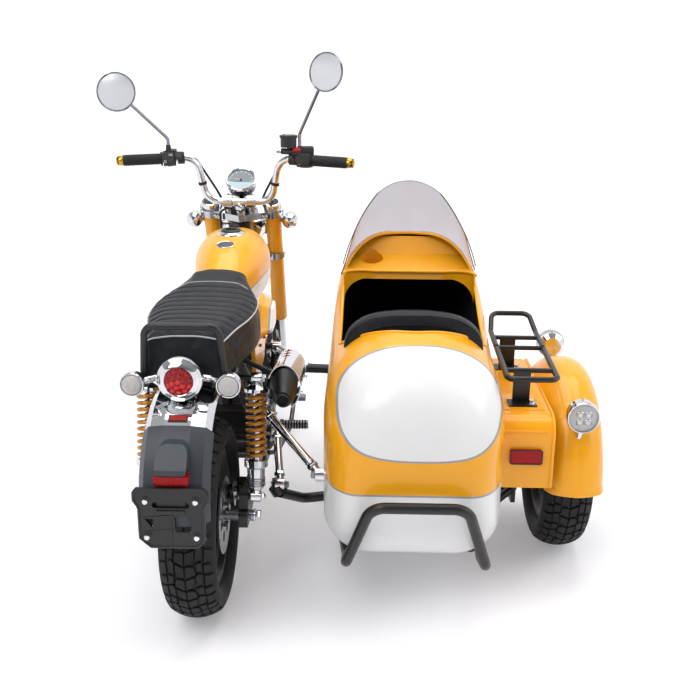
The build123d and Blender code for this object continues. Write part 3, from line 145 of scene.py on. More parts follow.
def plain_finish(name, tint, other, tint_mm, rough, rough_spread, grain_mm, depth, metallic, sockets):
    """A finish with slight colour variation, uneven roughness and a fine surface grain."""
    made, tree, shader, place = start_material(name, Metallic=metallic, **sockets)
    broad = grain(tree, place, tint_mm, 4)
    tinted(tree, shader, broad, (tint, other))
    roughened(tree, shader, broad, rough - rough_spread, rough + rough_spread)
    relief(tree, shader, grain(tree, place, grain_mm, 2), depth)
    return made


YELLOW_TINTS = ("#F9A90E", "#FDB21A")
WHITE_TINTS = ("#F1F1F0", "#E9E9E8")
SILVER_TINT = "#9C9FA3"
COAT = {"Coat Weight": 0.4, "Coat Roughness": 0.04, "Specular IOR Level": 0.3}
SOFT_COAT = {"Coat Weight": 0.4, "Coat Roughness": 0.15}
DULL = {"Specular IOR Level": 0.2}
FINISHES = {
    # name: tint, second tint, patch mm, roughness, its spread, grain mm, grain depth mm, metallic, sockets
    # Sprayed enamel under lacquer: deep even colour, clear reflections with a faint ripple
    "yellow_enamel": (*YELLOW_TINTS, 90, 0.34, 0.04, 1.6, 0.004, 0.0, COAT),
    # The same enamel left softer on the dashboard: broad, quiet highlights
    "yellow_satin": ("#F8AC10", "#F3A30C", 60, 0.42, 0.05, 1.2, 0.006, 0.0, SOFT_COAT),
    # Baked powder coat on steel tube: dark with a slight orange-peel sheen
    "black_powder_coat": ("#0B0B0C", "#131314", 50, 0.36, 0.06, 0.8, 0.02, 0.0, {}),
    # Sprayed gloss black on castings: tight, bright highlights
    "black_gloss_paint": ("#070708", "#0B0B0C", 60, 0.2, 0.04, 1.4, 0.004, 0.0, COAT),
    # Bright chrome plating: a near mirror, with light wear in its shine
    "chrome_plate": ("#D9DADC", "#C9CACD", 70, 0.05, 0.03, 2.4, 0.0015, 1.0, {}),
    # Sand-cast aluminium, bead blasted: soft grey sheen with a gritty skin
    "cast_alloy": ("#8C8D90", "#7B7C80", 14, 0.38, 0.08, 0.7, 0.03, 1.0, {}),
    # Cast aluminium with a dark coat: the grit shows through a dull metal gleam
    "dark_cast_alloy": ("#3A3B3D", "#2B2C2E", 18, 0.42, 0.08, 0.7, 0.03, 0.7, {}),
    # Turned and zinc-plated steel: uneven, fine tool marks
    "machined_steel": ("#9C9DA0", "#86878A", 10, 0.3, 0.1, 0.4, 0.006, 1.0, {}),
    # Injection-moulded ABS with a fine spark-eroded grain: dull black
    "black_moulding": ("#161718", "#1F2022", 40, 0.46, 0.07, 0.5, 0.03, 0.0, {}),
    # Moulded rubber: deep matt black with a powdery bloom
    "black_rubber": ("#0D0D0E", "#171718", 20, 0.62, 0.08, 0.6, 0.04, 0.0, {}),
    # Metallic enamel baked on spring wire: warm gold that darkens in patches
    "gold_spring_enamel": ("#CF9026", "#A56C15", 16, 0.3, 0.08, 1.0, 0.006, 0.45, COAT),
    # Gold anodised aluminium, turned: a clean coloured metal shine
    "gold_anodised": ("#C9A23A", "#B08A2A", 12, 0.22, 0.05, 0.5, 0.004, 1.0, {}),
    # Fibreboard and felt inside the body: takes the light away. The same near black stands as painted shade
    # inside the muffler's outlet and on the fender lamps' recessed faces
    "liner_and_painted_shade": ("#050505", "#0B0B0B", 30, 0.85, 0.08, 1.5, 0.1, 0.0, {}),
    # Heatproof black on the muffler: dry, with patches burnt duller
    "muffler_black": ("#0E0E0F", "#1A1918", 35, 0.4, 0.1, 0.9, 0.02, 0.2, {}),
    # Moulded red nylon of the stop switch: even colour, low shine
    "red_switch": ("#B4161A", "#9A1014", 8, 0.35, 0.05, 0.4, 0.01, 0.0, {}),
    # Chrome over brass on the mirrors' backs: a darker mirror with hazy patches
    "grey_chrome": ("#8C8E93", "#7C7E83", 20, 0.12, 0.04, 1.2, 0.002, 1.0, {}),
    # Hand-polished aluminium clamps: bright with soft swirls
    "polished_alloy": ("#C6C7CA", "#B4B5B9", 30, 0.16, 0.06, 1.2, 0.006, 1.0, {}),
    # Silvered glass whose light grey is a painted reflection of a pale room: an even, light grey field
    "mirror_glass": ("#DCDEE2", "#D3D6DA", 60, 0.2, 0.04, 3.0, 0.001, 0.25, COAT),
    # Printed film of the dial's scale: flat mid grey
    "dial_scale": ("#80878B", "#8A9195", 30, 0.4, 0.04, 0.6, 0.004, 0.0, DULL),
    # The unlit display below it: flat pale blue-grey
    "dial_display": ("#B2C6CB", "#BDCFD3", 18, 0.4, 0.04, 0.8, 0.004, 0.0, DULL),
    # Screen-printed white of the ticks and the needle: matt and clear
    "dial_marks": ("#F3F3F1", "#E4E4E2", 8, 0.45, 0.04, 0.5, 0.004, 0.0, {}),
    # Die-cast zinc badge plate, plated dark: a dull metal oval
    "badge_grey": ("#4E4F52", "#5C5D60", 9, 0.34, 0.06, 0.6, 0.008, 0.6, {}),
    # Moulded red acrylic cells in shade: deep wine red
    "red_cell": ("#7C0A10", "#8E0D14", 5, 0.25, 0.04, 0.8, 0.01, 0.0, COAT),
    # The same acrylic, with painted light where light comes through: clear bright red
    "red_cell_painted_light": ("#C81A1E", "#D8262A", 5, 0.22, 0.04, 0.8, 0.01, 0.0, COAT),
    # Pressed reflector acrylic: strong red with a crazed, prismatic skin
    "red_reflector": ("#A8120E", "#96100C", 5, 0.25, 0.05, 1.0, 0.05, 0.0, {"Specular IOR Level": 0.25}),
    # Milky acrylic domes of the position lamps: soft white with small highlights
    "white_led_cell": ("#E6E7E8", "#D5D6D8", 6, 0.25, 0.05, 0.8, 0.01, 0.1, COAT),
    # Lacquered amber bulb glass behind a clear lens: pale tan
    "amber_bulb": ("#C9A27A", "#B98F66", 8, 0.3, 0.05, 0.8, 0.01, 0.0, COAT),
    # Moulded polypropylene of the rear mudguard: slate blue-black, faintly grained
    "slate_moulding": ("#2A3037", "#333A42", 60, 0.42, 0.05, 0.7, 0.02, 0.0, {}),
    # Stamped and oiled link plates: darker than the rollers, smeared shine
    "chain_steel": ("#77787B", "#5E5F62", 9, 0.34, 0.08, 0.5, 0.01, 1.0, {}),
    # The acrylic screen's sawn and flamed side edges, in painted shade: a dark line
    "screen_edge_painted_shade": ("#3A3538", "#4A4448", 30, 0.3, 0.05, 0.8, 0.004, 0.0, {}),
    # Its upper edge, with painted light as if lit from above through the sheet: a bright line
    "screen_top_edge_painted_light": ("#D9D8DD", "#CFCED4", 30, 0.2, 0.05, 0.8, 0.004, 0.0, {}),
    # Enamel at the bottom of the dash's cup: the same yellow in shade
    "cup_shade": ("#C87A0E", "#D0820F", 20, 0.5, 0.05, 0.9, 0.006, 0.0, {}),
}
MATERIALS = {}
for finish_name, row in FINISHES.items():
    MATERIALS[finish_name] = plain_finish(finish_name, *row)

LINE_HALF = 2.4  # half the silver line's width, in millimetres


def pinstriped(name, masks):
    """Sprayed yellow enamel with white fields, each edged by a thin silver line.

    masks(tree, x, y, z) gives signed distances in the frame's millimetres, white below 0.
    """
    made, tree, shader, place = start_material(name, **COAT)
    axes = shade(tree, "SeparateXYZ", {"Vector": place})
    x, y, z = (calc(tree, "DIVIDE", axes.outputs[i], MM) for i in range(3))
    broad = grain(tree, place, 90, 3)
    yellow, other, white, off_white = (colour(code) for code in YELLOW_TINTS + WHITE_TINTS)
    tint = mixed(tree, broad, yellow, other)
    for distance in masks(tree, x, y, z):
        inside = calc(tree, "LESS_THAN", distance, 0.0)
        tint = mixed(tree, inside, tint, mixed(tree, broad, white, off_white))
        edge = calc(tree, "LESS_THAN", calc(tree, "ABSOLUTE", distance), LINE_HALF)
        tint = mixed(tree, edge, tint, colour(SILVER_TINT))
    tree.links.new(tint, shader.inputs["Base Color"])
    roughened(tree, shader, broad, 0.3, 0.38)
    relief(tree, shader, grain(tree, place, 1.6, 2), 0.004)
    return made


BELLY_TOP = 363.0
OVAL_X, OVAL_Z = 211.0, 580.0
OVAL_HALF_WIDTH, OVAL_HALF_HEIGHT = 195.0, 131.0
OVAL_FRONT = -420.0  # the oval stays behind this place
TURN_IN = -566.0  # ahead of here the tail's skin lies over, and the oval is drawn longer


def body_fields(tree, x, y, z):
    """The sidecar's white belly, and the white oval on its tail: squarer below its middle than above."""
    belly = calc(tree, "SUBTRACT", z, BELLY_TOP)
    over = calc(tree, "MULTIPLY", calc(tree, "MAXIMUM", calc(tree, "SUBTRACT", y, TURN_IN), 0.0), 0.5)
    sideways = calc(tree, "SUBTRACT", x, OVAL_X)
    upward = calc(tree, "SUBTRACT", calc(tree, "ADD", z, over), OVAL_Z)
    u = calc(tree, "ABSOLUTE", calc(tree, "DIVIDE", sideways, OVAL_HALF_WIDTH))
    v = calc(tree, "ABSOLUTE", calc(tree, "DIVIDE", upward, OVAL_HALF_HEIGHT))
    below = calc(tree, "LESS_THAN", z, OVAL_Z)
    bulge = calc(tree, "ADD", 2.25, calc(tree, "MULTIPLY", below, 0.5))
    total = calc(tree, "ADD", calc(tree, "POWER", u, bulge), calc(tree, "POWER", v, bulge))
    size = calc(tree, "POWER", total, calc(tree, "DIVIDE", 1.0, bulge))
    oval = calc(tree, "MULTIPLY", calc(tree, "SUBTRACT", size, 1.0), OVAL_HALF_HEIGHT)
    return [belly, calc(tree, "MAXIMUM", oval, calc(tree, "SUBTRACT", y, OVAL_FRONT))]


def tank_fields(tree, x, y, z):
    """The tank's white lower sides, whose upper line rises forwards."""
    rise = calc(tree, "MULTIPLY", calc(tree, "SUBTRACT", y, 50.0), 0.12)
    return [calc(tree, "SUBTRACT", calc(tree, "SUBTRACT", z, 716.0), rise)]


def cover_fields(tree, x, y, z):
    """The side covers' white outer faces."""
    outward = calc(tree, "ABSOLUTE", calc(tree, "SUBTRACT", x, ZERO[0]))
    return [calc(tree, "SUBTRACT", 139.0, outward)]


for finish_name, fields in (("yellow_cover_enamel", cover_fields), ("yellow_body_enamel", body_fields),
                            ("yellow_tank_enamel", tank_fields)):
    MATERIALS[finish_name] = pinstriped(finish_name, fields)


def leather(name, tints, crease_mm):
    """Vinyl leathercloth: embossed cells, drawn a little coarse so that they show, and soft creases."""
    made, tree, shader, place = start_material(name, **DULL)
    net = shade(tree, "TexVoronoi", {"Vector": place, "Scale": 1 / (1.3 * MM)}, feature="DISTANCE_TO_EDGE")
    broad = grain(tree, place, crease_mm, 5)
    tinted(tree, shader, broad, tints)
    roughened(tree, shader, broad, 0.38, 0.56)
    cells = calc(tree, "MULTIPLY", net.outputs["Distance"], 0.5)
    relief(tree, shader, calc(tree, "ADD", cells, calc(tree, "MULTIPLY", broad, 1.2)), 0.12)
    return made


def tyre_rubber():
    """Vulcanised tyre rubber: matt black, greyer where dust lies in its grain."""
    made, tree, shader, place = start_material("tyre_rubber", **{"Specular IOR Level": 0.35})
    fine = grain(tree, place, 1.2, 3)
    tinted(tree, shader, grain(tree, place, 25, 5), ("#101011", "#1B1B1D"))
    roughened(tree, shader, fine, 0.6, 0.8)
    relief(tree, shader, fine, 0.06)
    return made


def ground_disc():
    """Ground disc steel: fine mottled metal, duller where the pads scour it."""
    made, tree, shader, place = start_material("ground_disc_steel", Metallic=1.0)
    fine = grain(tree, place, 0.8, 4)
    tinted(tree, shader, fine, ("#A9AAAD", "#7E7F83"))
    roughened(tree, shader, fine, 0.2, 0.36)
    relief(tree, shader, fine, 0.01)
    return made


def lens(name, tint, clear, shine):
    """Moulded lens acrylic: small square prisms behind its face break up what it shows."""
    made, tree, shader, place = start_material(name, **{
        "Base Color": colour(tint), "Transmission Weight": clear, "IOR": 1.49, "Roughness": 0.08,
        "Specular IOR Level": shine})
    prisms = shade(tree, "TexVoronoi", {"Vector": place, "Scale": 1 / (4 * MM)}, distance="CHEBYCHEV")
    relief(tree, shader, prisms.outputs["Distance"], 0.8)
    return made


def smoked_screen():
    """Cast acrylic sheet with a light smoke tint: what is behind it shows greyer, with faint dust."""
    made, tree, shader, place = start_material("smoked_acrylic", **{"IOR": 1.2, "Transmission Weight": 1.0})
    dust = grain(tree, place, 60, 4)
    tinted(tree, shader, dust, ("#BDB9BC", "#C6C2C5"))
    roughened(tree, shader, dust, 0.02, 0.08)
    return made


MATERIALS["seat_leathercloth"] = leather("seat_leathercloth", ("#191B20", "#22252B"), 30)
MATERIALS["piping_vinyl"] = leather("piping_vinyl", ("#C9C9C6", "#B5B5B2"), 10)
MATERIALS["tyre_rubber"] = tyre_rubber()
MATERIALS["ground_disc_steel"] = ground_disc()
MATERIALS["red_lens_plastic"] = lens("red_lens_plastic", "#A30C10", 0.0, 0.22)
MATERIALS["clear_lens_plastic"] = lens("clear_lens_plastic", "#F2F3F4", 0.5, 0.5)
MATERIALS["smoked_acrylic"] = smoked_screen()

WORN_BY = {
    # finish: the CAD nodes that take it
    "black_powder_coat": "frame grab_rail plate_bracket swingarm sidecar_frame rear_bumper luggage_rack "
                         "side_stand",
    "chrome_plate": "heat_shield tank_cap rear_fender rear_lamps shock_bodies tie_rods fender_lamps "
                    "fork_sliders front_fender handlebar headlamp speedometer front_indicators",
    "dark_cast_alloy": "engine rear_rim front_rim car_rim",
    "muffler_black": "exhaust",
    "yellow_tank_enamel": "fuel_tank",
    "yellow_cover_enamel": "side_covers",
    "yellow_body_enamel": "sidecar_body",
    "yellow_satin": "dashboard",
    "yellow_enamel": "car_fender fork_tubes",
    "slate_moulding": "mudguard",
    "black_moulding": "switchgear",
    "red_lens_plastic": "red_lenses",
    "clear_lens_plastic": "clear_lenses front_lenses",
    "gold_spring_enamel": "shock_springs",
    "machined_steel": "chain axles rear_sprocket front_axle",
    "cast_alloy": "foot_controls",
    "polished_alloy": "triple_clamps",
    "black_gloss_paint": "rear_caliper front_caliper",
    "smoked_acrylic": "windscreen",
    "ground_disc_steel": "rear_disc front_disc",
    "black_rubber": "grips control_cables",
    "grey_chrome": "mirrors",
    "tyre_rubber": "rear_tyre front_tyre car_tyre",
    "seat_leathercloth": "seat seat_cushion seat_back",
}


def dress(obj, *names):
    """Give an object its finishes, one slot each."""
    obj.data.materials.clear()
    for name in names:
        obj.data.materials.append(MATERIALS[name])


for finish_name, wearers in WORN_BY.items():
    for node_name in wearers.split():
        dress(nodes[node_name], finish_name)


def second_finish(node, finish, chosen):
    """Give the faces of a CAD node that are chosen a second finish."""
    node.data.materials.append(MATERIALS[finish])
    for face in node.data.polygons:
        if chosen(face):
            face.material_index = 1


NOSE_Y = 0.5
SKIN_DEPTH = 0.003
LINER_X, LINER_Z = 0.2, 0.43  # the line through the body's middle
LINER_REAR, LINER_FRONT = -0.5, 0.45


def inside_body(face):
    """Whether a face of the sidecar body looks towards its middle, and isn't the nose's outer skin."""
    centre = face.center
    middle = Vector((LINER_X, min(max(centre.y, LINER_REAR), LINER_FRONT), LINER_Z))
    if face.normal.dot(centre - middle) >= 0:
        return False
    found, skin, _, _ = nodes["sidecar_body"].ray_cast(centre + Vector((0, 1, 0)), (0, -1, 0))
    return centre.y < NOSE_Y or not found or (skin - centre).length > SKIN_DEPTH


second_finish(nodes["sidecar_body"], "liner_and_painted_shade", inside_body)

# Short names for the finishes that most fittings have
CHROME, BLACK, STEEL, RUBBER, YELLOW = ("chrome_plate", "black_moulding", "machined_steel", "black_rubber",
                                        "yellow_enamel")
UP = Vector((0, 0, 1))
RIGHTWARD = Vector((1, 0, 0))
SQUARE = ((-1, -1), (1, -1), (1, 1), (-1, 1))


# Shape building
def smooth(obj, degrees):
    """Smooth shading that keeps edges sharper than an angle."""
    bpy.context.view_layer.objects.active = obj
    for other in bpy.context.selected_objects:
        other.select_set(False)
    obj.select_set(True)
    bpy.ops.object.shade_smooth_by_angle(angle=math.radians(degrees))
    obj.select_set(False)


def circle(centre, first, second, radius, segments):
    """Points round a centre in the plane of two unit vectors, at a radius in millimetres."""
    turns = (math.tau * i / segments for i in range(segments))
    return [centre + (first * math.cos(a) + second * math.sin(a)) * radius * MM for a in turns]


class Kit:
    """Collects shapes with their finishes and makes them one piece that rides on a body."""

    def __init__(self, name, body):
        self.name, self.body = name, body
        self.bm = bmesh.new()
        self.finishes = []

    def slot(self, finish):
        """The finish's slot, added when it is new."""
        if finish not in self.finishes:
            self.finishes.append(finish)
        return self.finishes.index(finish)

    def skin(self, rings, finish, closed=True, caps=True, loop=False):
        """Faces between rings of points, filled at both ends unless the rings loop."""
        slot = self.slot(finish)
        rows = [[self.bm.verts.new(p) for p in ring] for ring in rings]
        for low, high in zip(rows, rows[1:] + ([rows[0]] if loop else [])):
            count = len(low)
            for i in range(count if closed else count - 1):
                j = (i + 1) % count
                self.bm.faces.new((low[i], low[j], high[j], high[i])).material_index = slot
        if caps and not loop:
            for row in (rows[0][::-1], rows[-1]):
                self.bm.faces.new(row).material_index = slot

    def turn(self, origin, axis, profile, finish, segments=32, caps=True):
        """A turned shape: profile holds (radius, height) pairs in millimetres along the axis."""
        axis = Vector(axis).normalized()
        first = axis.orthogonal().normalized()
        second = axis.cross(first)
        rings = []
        for radius, height in profile:
            rings.append(circle(origin + axis * height * MM, first, second, radius, segments))
        self.skin(rings, finish, caps=caps)

    def tube(self, points, radius, finish, segments=12, loop=False):
        """A round tube along points, with its radius in millimetres."""
        count = len(points)
        rings = []
        normal = None
        for i, point in enumerate(points):
            before = points[(i - 1) % count] if loop or i else point
            after = points[(i + 1) % count] if loop or i < count - 1 else point
            way = (after - before).normalized()
            normal = way.orthogonal() if normal is None else normal - way * normal.dot(way)
            normal = normal.normalized()
            rings.append(circle(point, normal, way.cross(normal), radius, segments))
        self.skin(rings, finish, loop=loop)

    def slab(self, outline, push, finish, bevel=0.0):
        """A flat outline pushed along a vector, with its far rim drawn in by a bevel in metres."""
        middle = sum(outline, Vector()) / len(outline)
        rows = [outline, [p + push for p in outline]]
        if bevel:
            low = [p + push * (1 - min(0.9, bevel / push.length)) for p in outline]
            rows = [outline, low, [p + (middle + push - p).normalized() * bevel for p in rows[1]]]
        self.skin(rows, finish)

    def bolt(self, place, axis, size, finish=STEEL, washer=True):
        """A hexagon head of a size across flats, in millimetres, on its washer."""
        if washer:
            rim = [(0.72, 0), (0.72, 0.1), (0.66, 0.14)]
            self.turn(place, axis, [(size * r, size * h) for r, h in rim], finish, 20)
        head = [(0.56, 0.12), (0.58, 0.2), (0.58, 0.56), (0.48, 0.66)]
        self.turn(place, axis, [(size * r, size * h) for r, h in head], finish, 6)

    def screw(self, place, axis, size, finish=STEEL):
        """A socket cap screw: a round head with a recess."""
        head = [(0.5, 0), (0.5, 0.5), (0.45, 0.58), (0.3, 0.58), (0.28, 0.3)]
        self.turn(place, axis, [(size * r, size * h) for r, h in head], finish, 18)

    def form(self):
        """The collected shapes as an object with their finishes."""
        bmesh.ops.recalc_face_normals(self.bm, faces=self.bm.faces)
        mesh = bpy.data.meshes.new(self.name)
        piece = bpy.data.objects.new(self.name, mesh)
        bpy.context.scene.collection.objects.link(piece)
        dress(piece, *self.finishes)
        self.bm.to_mesh(mesh)
        self.bm.free()
        return piece

    def make(self, degrees=32, replaces=()):
        """One smoothed piece that rides on the body, and stands for the nodes that it replaces."""
        piece = self.form()
        smooth(piece, degrees)
        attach(piece, self.body)
        if replaces:
            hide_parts(*replaces)


def eased(a, b, c, d, t):
    """What lies between b and c on a smooth curve through four values or points."""
    square, cube = 2 * a - 5 * b + 4 * c - d, 3 * b - a - 3 * c + d
    return 0.5 * (2 * b + (c - a) * t + square * t * t + cube * t ** 3)


def flow(points, per=8, loop=False):
    """A smooth line through points."""
    count = len(points)
    made = []
    for i in range(count if loop else count - 1):
        near = [(i + k) % count if loop else min(max(i + k, 0), count - 1) for k in (-1, 0, 1, 2)]
        made += [eased(*(points[k] for k in near), step / per) for step in range(per)]
    if not loop:
        made.append(points[-1].copy())
    return made


def arc_through(a, b, c, count):
    """Points in a plane along the arc from a through b to c."""
    (ax, ay), (bx, by), (cx, cy) = a, b, c
    asq, bsq, csq = (x ** 2 + y ** 2 for x, y in (a, b, c))
    d = 2 * (ax * (by - cy) + bx * (cy - ay) + cx * (ay - by))
    ux = (asq * (by - cy) + bsq * (cy - ay) + csq * (ay - by)) / d
    uy = (asq * (cx - bx) + bsq * (ax - cx) + csq * (bx - ax)) / d
    radius = math.hypot(ax - ux, ay - uy)
    first, middle, last = (math.atan2(y - uy, x - ux) for x, y in (a, b, c))
    turn = (last - first) % math.tau
    if (middle - first) % math.tau > turn:
        turn -= math.tau
    steps = (first + turn * i / count for i in range(count + 1))
    return [(ux + radius * math.cos(angle), uy + radius * math.sin(angle)) for angle in steps]


# Tyres
TREAD = [
    # outlines on the right half: (mm round the section from the middle, share of a pitch)
    [(1.6, 0.02), (16, 0.10), (22, 0.28), (22, 0.52), (9, 0.45), (1.6, 0.40)],
    [(1.6, 0.49), (9.5, 0.55), (24, 0.63), (20, 0.93), (8, 0.95), (1.6, 0.90)],
    [(25, 0.14), (40, 0.20), (42, 0.58), (31, 0.66), (25, 0.56)],
    [(27.5, 0.75), (41.5, 0.69), (39.5, 1.07), (25.5, 1.04)],
    [(45, 0.06), (61, 0.10), (70, 0.14), (70, 0.46), (60, 0.47), (45.5, 0.53)],
    [(45, 0.63), (58, 0.60), (65, 0.64), (65, 0.90), (57, 0.94), (43.5, 0.95)],
]
TREAD_DEPTH = 7.0
PITCHES = 22
SHOULDER_IN, SHOULDER_DROP = 10, 17  # from the tyre's side, and below its crown
WALL_DROP = 44  # from the crown down to the widest place
BEAD_HALF, BEAD_RADIUS, WELL_RADIUS = 41, 170, 154
SECTION_STEP = 3.5
AROUND = 120


def tyre(name, body, node, centre, radius, width):
    """A tyre with its tread: a carcass turned below the blocks, and blocks up to the CAD tyre's surface."""
    half = width / 2
    shoulder = (half - SHOULDER_IN, radius - SHOULDER_DROP)
    crown = arc_through((-shoulder[0], shoulder[1]), (0, radius), shoulder, 40)[20:]
    wall = arc_through(shoulder, (half, radius - WALL_DROP), (BEAD_HALF, BEAD_RADIUS), 26)[1:]
    outline = crown + wall
    run = [0.0]
    for (x0, r0), (x1, r1) in zip(outline, outline[1:]):
        run.append(run[-1] + math.hypot(x1 - x0, r1 - r0))
    xs, rs = [p[0] for p in outline], [p[1] for p in outline]

    def surface(s, depth):
        """A point of the section at s along it, sunk by depth."""
        x, r = np.interp(s, run, xs), np.interp(s, run, rs)
        dx = np.interp(s + 1, run, xs) - np.interp(s - 1, run, xs)
        dr = np.interp(s + 1, run, rs) - np.interp(s - 1, run, rs)
        if s < 1:
            dx, dr = 1.0, 0.0
        size = math.hypot(dx, dr) or 1.0
        return x + depth * dr / size, r - depth * dx / size

    def place(x, r, angle):
        """A point of the tyre at an angle that rises from its rear."""
        return centre + move(x, -r * math.cos(angle), r * math.sin(angle))

    kit = Kit(name, body)
    steps = [i * SECTION_STEP for i in range(int(run[-1] / SECTION_STEP) + 1)] + [run[-1]]
    section = []
    for s in steps:
        # The carcass comes up to the surface where the blocks end, and two thin lines stand out of the wall
        fade = min(max((s - 64) / 12, 0), 1)
        line = 0.5 if 92 < s < 95 or 80 < s < 82 else 0
        section.append(surface(s, TREAD_DEPTH * (1 - fade) - line))
    section.append((BEAD_HALF, WELL_RADIUS))
    ring = [(-x, r) for x, r in section[:0:-1]] + section
    turns = (math.tau * i / AROUND for i in range(AROUND))
    kit.skin([[place(x, r, a) for x, r in ring] for a in turns], "tyre_rubber", loop=True)
    for sign, offset in ((1, 0.0), (-1, 0.5)):
        for pitch in range(PITCHES):
            for block in TREAD:
                middle_s = sum(p[0] for p in block) / len(block)
                middle_v = sum(p[1] for p in block) / len(block)
                levels = []
                for depth, shrink in ((TREAD_DEPTH + 1.5, 1.06), (1.0, 1.0), (0.15, 0.93)):
                    level = []
                    for s, v in block:
                        x, r = surface(middle_s + (s - middle_s) * shrink, depth)
                        share = pitch + offset + middle_v + (v - middle_v) * shrink
                        level.append(place(sign * x, r, math.tau * share / PITCHES))
                    levels.append(level)
                kit.skin(levels, "tyre_rubber")
    kit.make(28, (node,))


tyre("rear_treaded_tyre", "rear_wheel", "rear_tyre", at(0, 0, 256), 246, 130)
tyre("front_treaded_tyre", "front_wheel", "front_tyre", at(0, 1155, 250), 240, 120)
tyre("car_treaded_tyre", "sidecar_wheel", "car_tyre", at(935, 385, 252), 242, 130)


# Soft goods
def stuffed(name, rings):
    """A closed cover from rings of points, before it is filled."""
    kit = Kit(name, "chassis")
    kit.skin(rings, "seat_leathercloth")
    return kit.form()


def bake(piece):
    """Keep what the modifiers make, and drop them."""
    graph = bpy.context.evaluated_depsgraph_get()
    made = bpy.data.meshes.new_from_object(piece.evaluated_get(graph))
    piece.modifiers.clear()
    piece.data = made


SWELL_FRAMES = 20


def swell(piece, voxel, pressure, cap, held):
    """Remesh a closed form and let Cloth fill it like a stuffed cover.

    held(point) is true where it is tacked down, and cap is how far it may swell, in millimetres.
    """
    remesh = piece.modifiers.new("remesh", "REMESH")
    remesh.mode = "VOXEL"
    remesh.voxel_size = voxel * MM
    bake(piece)
    start = [v.co.copy() for v in piece.data.vertices]
    group = piece.vertex_groups.new(name="held")
    group.add([v.index for v in piece.data.vertices if held(v.co)], 1.0, "REPLACE")
    cloth = piece.modifiers.new("cloth", "CLOTH")
    cloth.settings.quality = 5
    cloth.settings.vertex_group_mass = "held"
    cloth.settings.use_pressure = True
    cloth.settings.uniform_pressure_force = pressure
    cloth.settings.effector_weights.gravity = 0
    cloth.settings.tension_stiffness = 18
    cloth.settings.compression_stiffness = 18
    for step in range(SWELL_FRAMES):
        bpy.context.scene.frame_set(step + 1)
    bake(piece)
    bpy.context.scene.frame_set(1)
    for vertex, origin in zip(piece.data.vertices, start):
        shift = vertex.co - origin
        if shift.length > cap * MM:
            vertex.co = origin + shift.normalized() * cap * MM
    subdivide = piece.modifiers.new("subdivide", "SUBSURF")
    subdivide.levels = subdivide.render_levels = 1
    bake(piece)


def settle(piece, node):
    """Give a padded piece its cover, and let it ride and stand for its node."""
    dress(piece, "seat_leathercloth")
    for face in piece.data.polygons:
        face.use_smooth = True
    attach(piece, "chassis")
    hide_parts(node)


def on_skin(piece, points, lift):
    """Points moved on to a piece's surface and lifted off it by millimetres."""
    made = []
    for point in points:
        found, place, normal, _ = piece.closest_point_on_mesh(point)
        made.append(place + normal * lift * MM if found else point)
    return made


SEAT = [
    # y, half width, bottom, top
    (-122, 92, 657, 757), (-50, 106, 657, 763), (80, 131, 657, 761),
    (200, 132, 657, 763), (300, 104, 662, 773), (385, 77, 676, 786),
]
SEAT_REAR, SEAT_FRONT = SEAT[0][0], SEAT[-1][0]
SEAT_RINGS = 45
PIPING_DROP = 18  # from the middle of the top down to the piped edge
RIBS = [-84, -44, -4, 36, 76, 116, 156, 196, 236, 272]
RIB_BOW = 9


def seat_size(y):
    """The seat's half width, bottom and top at a place along it."""
    ys = [row[0] for row in SEAT]
    last = len(SEAT) - 1
    i = max(0, min(last - 1, sum(y > v for v in ys[1:])))
    span = [SEAT[max(i - 1, 0)], SEAT[i], SEAT[i + 1], SEAT[min(i + 2, last)]]
    t = (y - ys[i]) / (ys[i + 1] - ys[i])
    return [eased(*(row[k] for row in span), t) for k in (1, 2, 3)]


def sew_ribs(piece):
    """Press a bowed seam into the seat's top along each rib line, and round it up between them."""
    for vertex in piece.data.vertices:
        x, y, z = drawn(vertex.co)
        half, low, high = seat_size(max(SEAT_REAR, min(SEAT_FRONT, y)))
        share = min(max((z - (high - 22)) / 10, 0), 1)
        if share and -112 < y < 276:
            bow = y - RIB_BOW * (1 - (x / half) ** 2)
            gap = min(abs(bow - rib) for rib in RIBS)
            edge = min(1, max(0, (half - abs(x)) / 16))
            swelling, seam = 2.4 * min(gap / 20, 1) ** 0.6, 3.4 * math.exp(-(gap / 3.2) ** 2)
            vertex.co.z += share * edge * (swelling - seam) * MM


def seat_piping(piece):
    """Pale piping round the seat's upper edge, and a thinner one across its nose."""
    route = []
    for y in range(296, -100, -18):
        half, low, high = seat_size(y)
        route.append(at(half - 2, y, high - PIPING_DROP))
    half, low, high = seat_size(SEAT_REAR)
    for share in (0.93, 0.8, 0.6, 0.3, 0, -0.3, -0.6, -0.8, -0.93):
        route.append(at(half * share, SEAT_REAR + 1, high - 3 - 15 * abs(share) ** 3))
    for y in range(-98, 300, 18):
        half, low, high = seat_size(y)
        route.append(at(-half + 2, y, high - PIPING_DROP))
    nose = [at(x, 274 + RIB_BOW * (1 - (x / 105) ** 2), 780) for x in range(-100, 101, 20)]
    kit = Kit("seat_piping", "chassis")
    kit.tube(flow(on_skin(piece, route, 0.6), 4), 1.9, "piping_vinyl", 8)
    kit.tube(flow(on_skin(piece, nose, 0.2), 4), 1.3, "piping_vinyl", 8)
    kit.make()


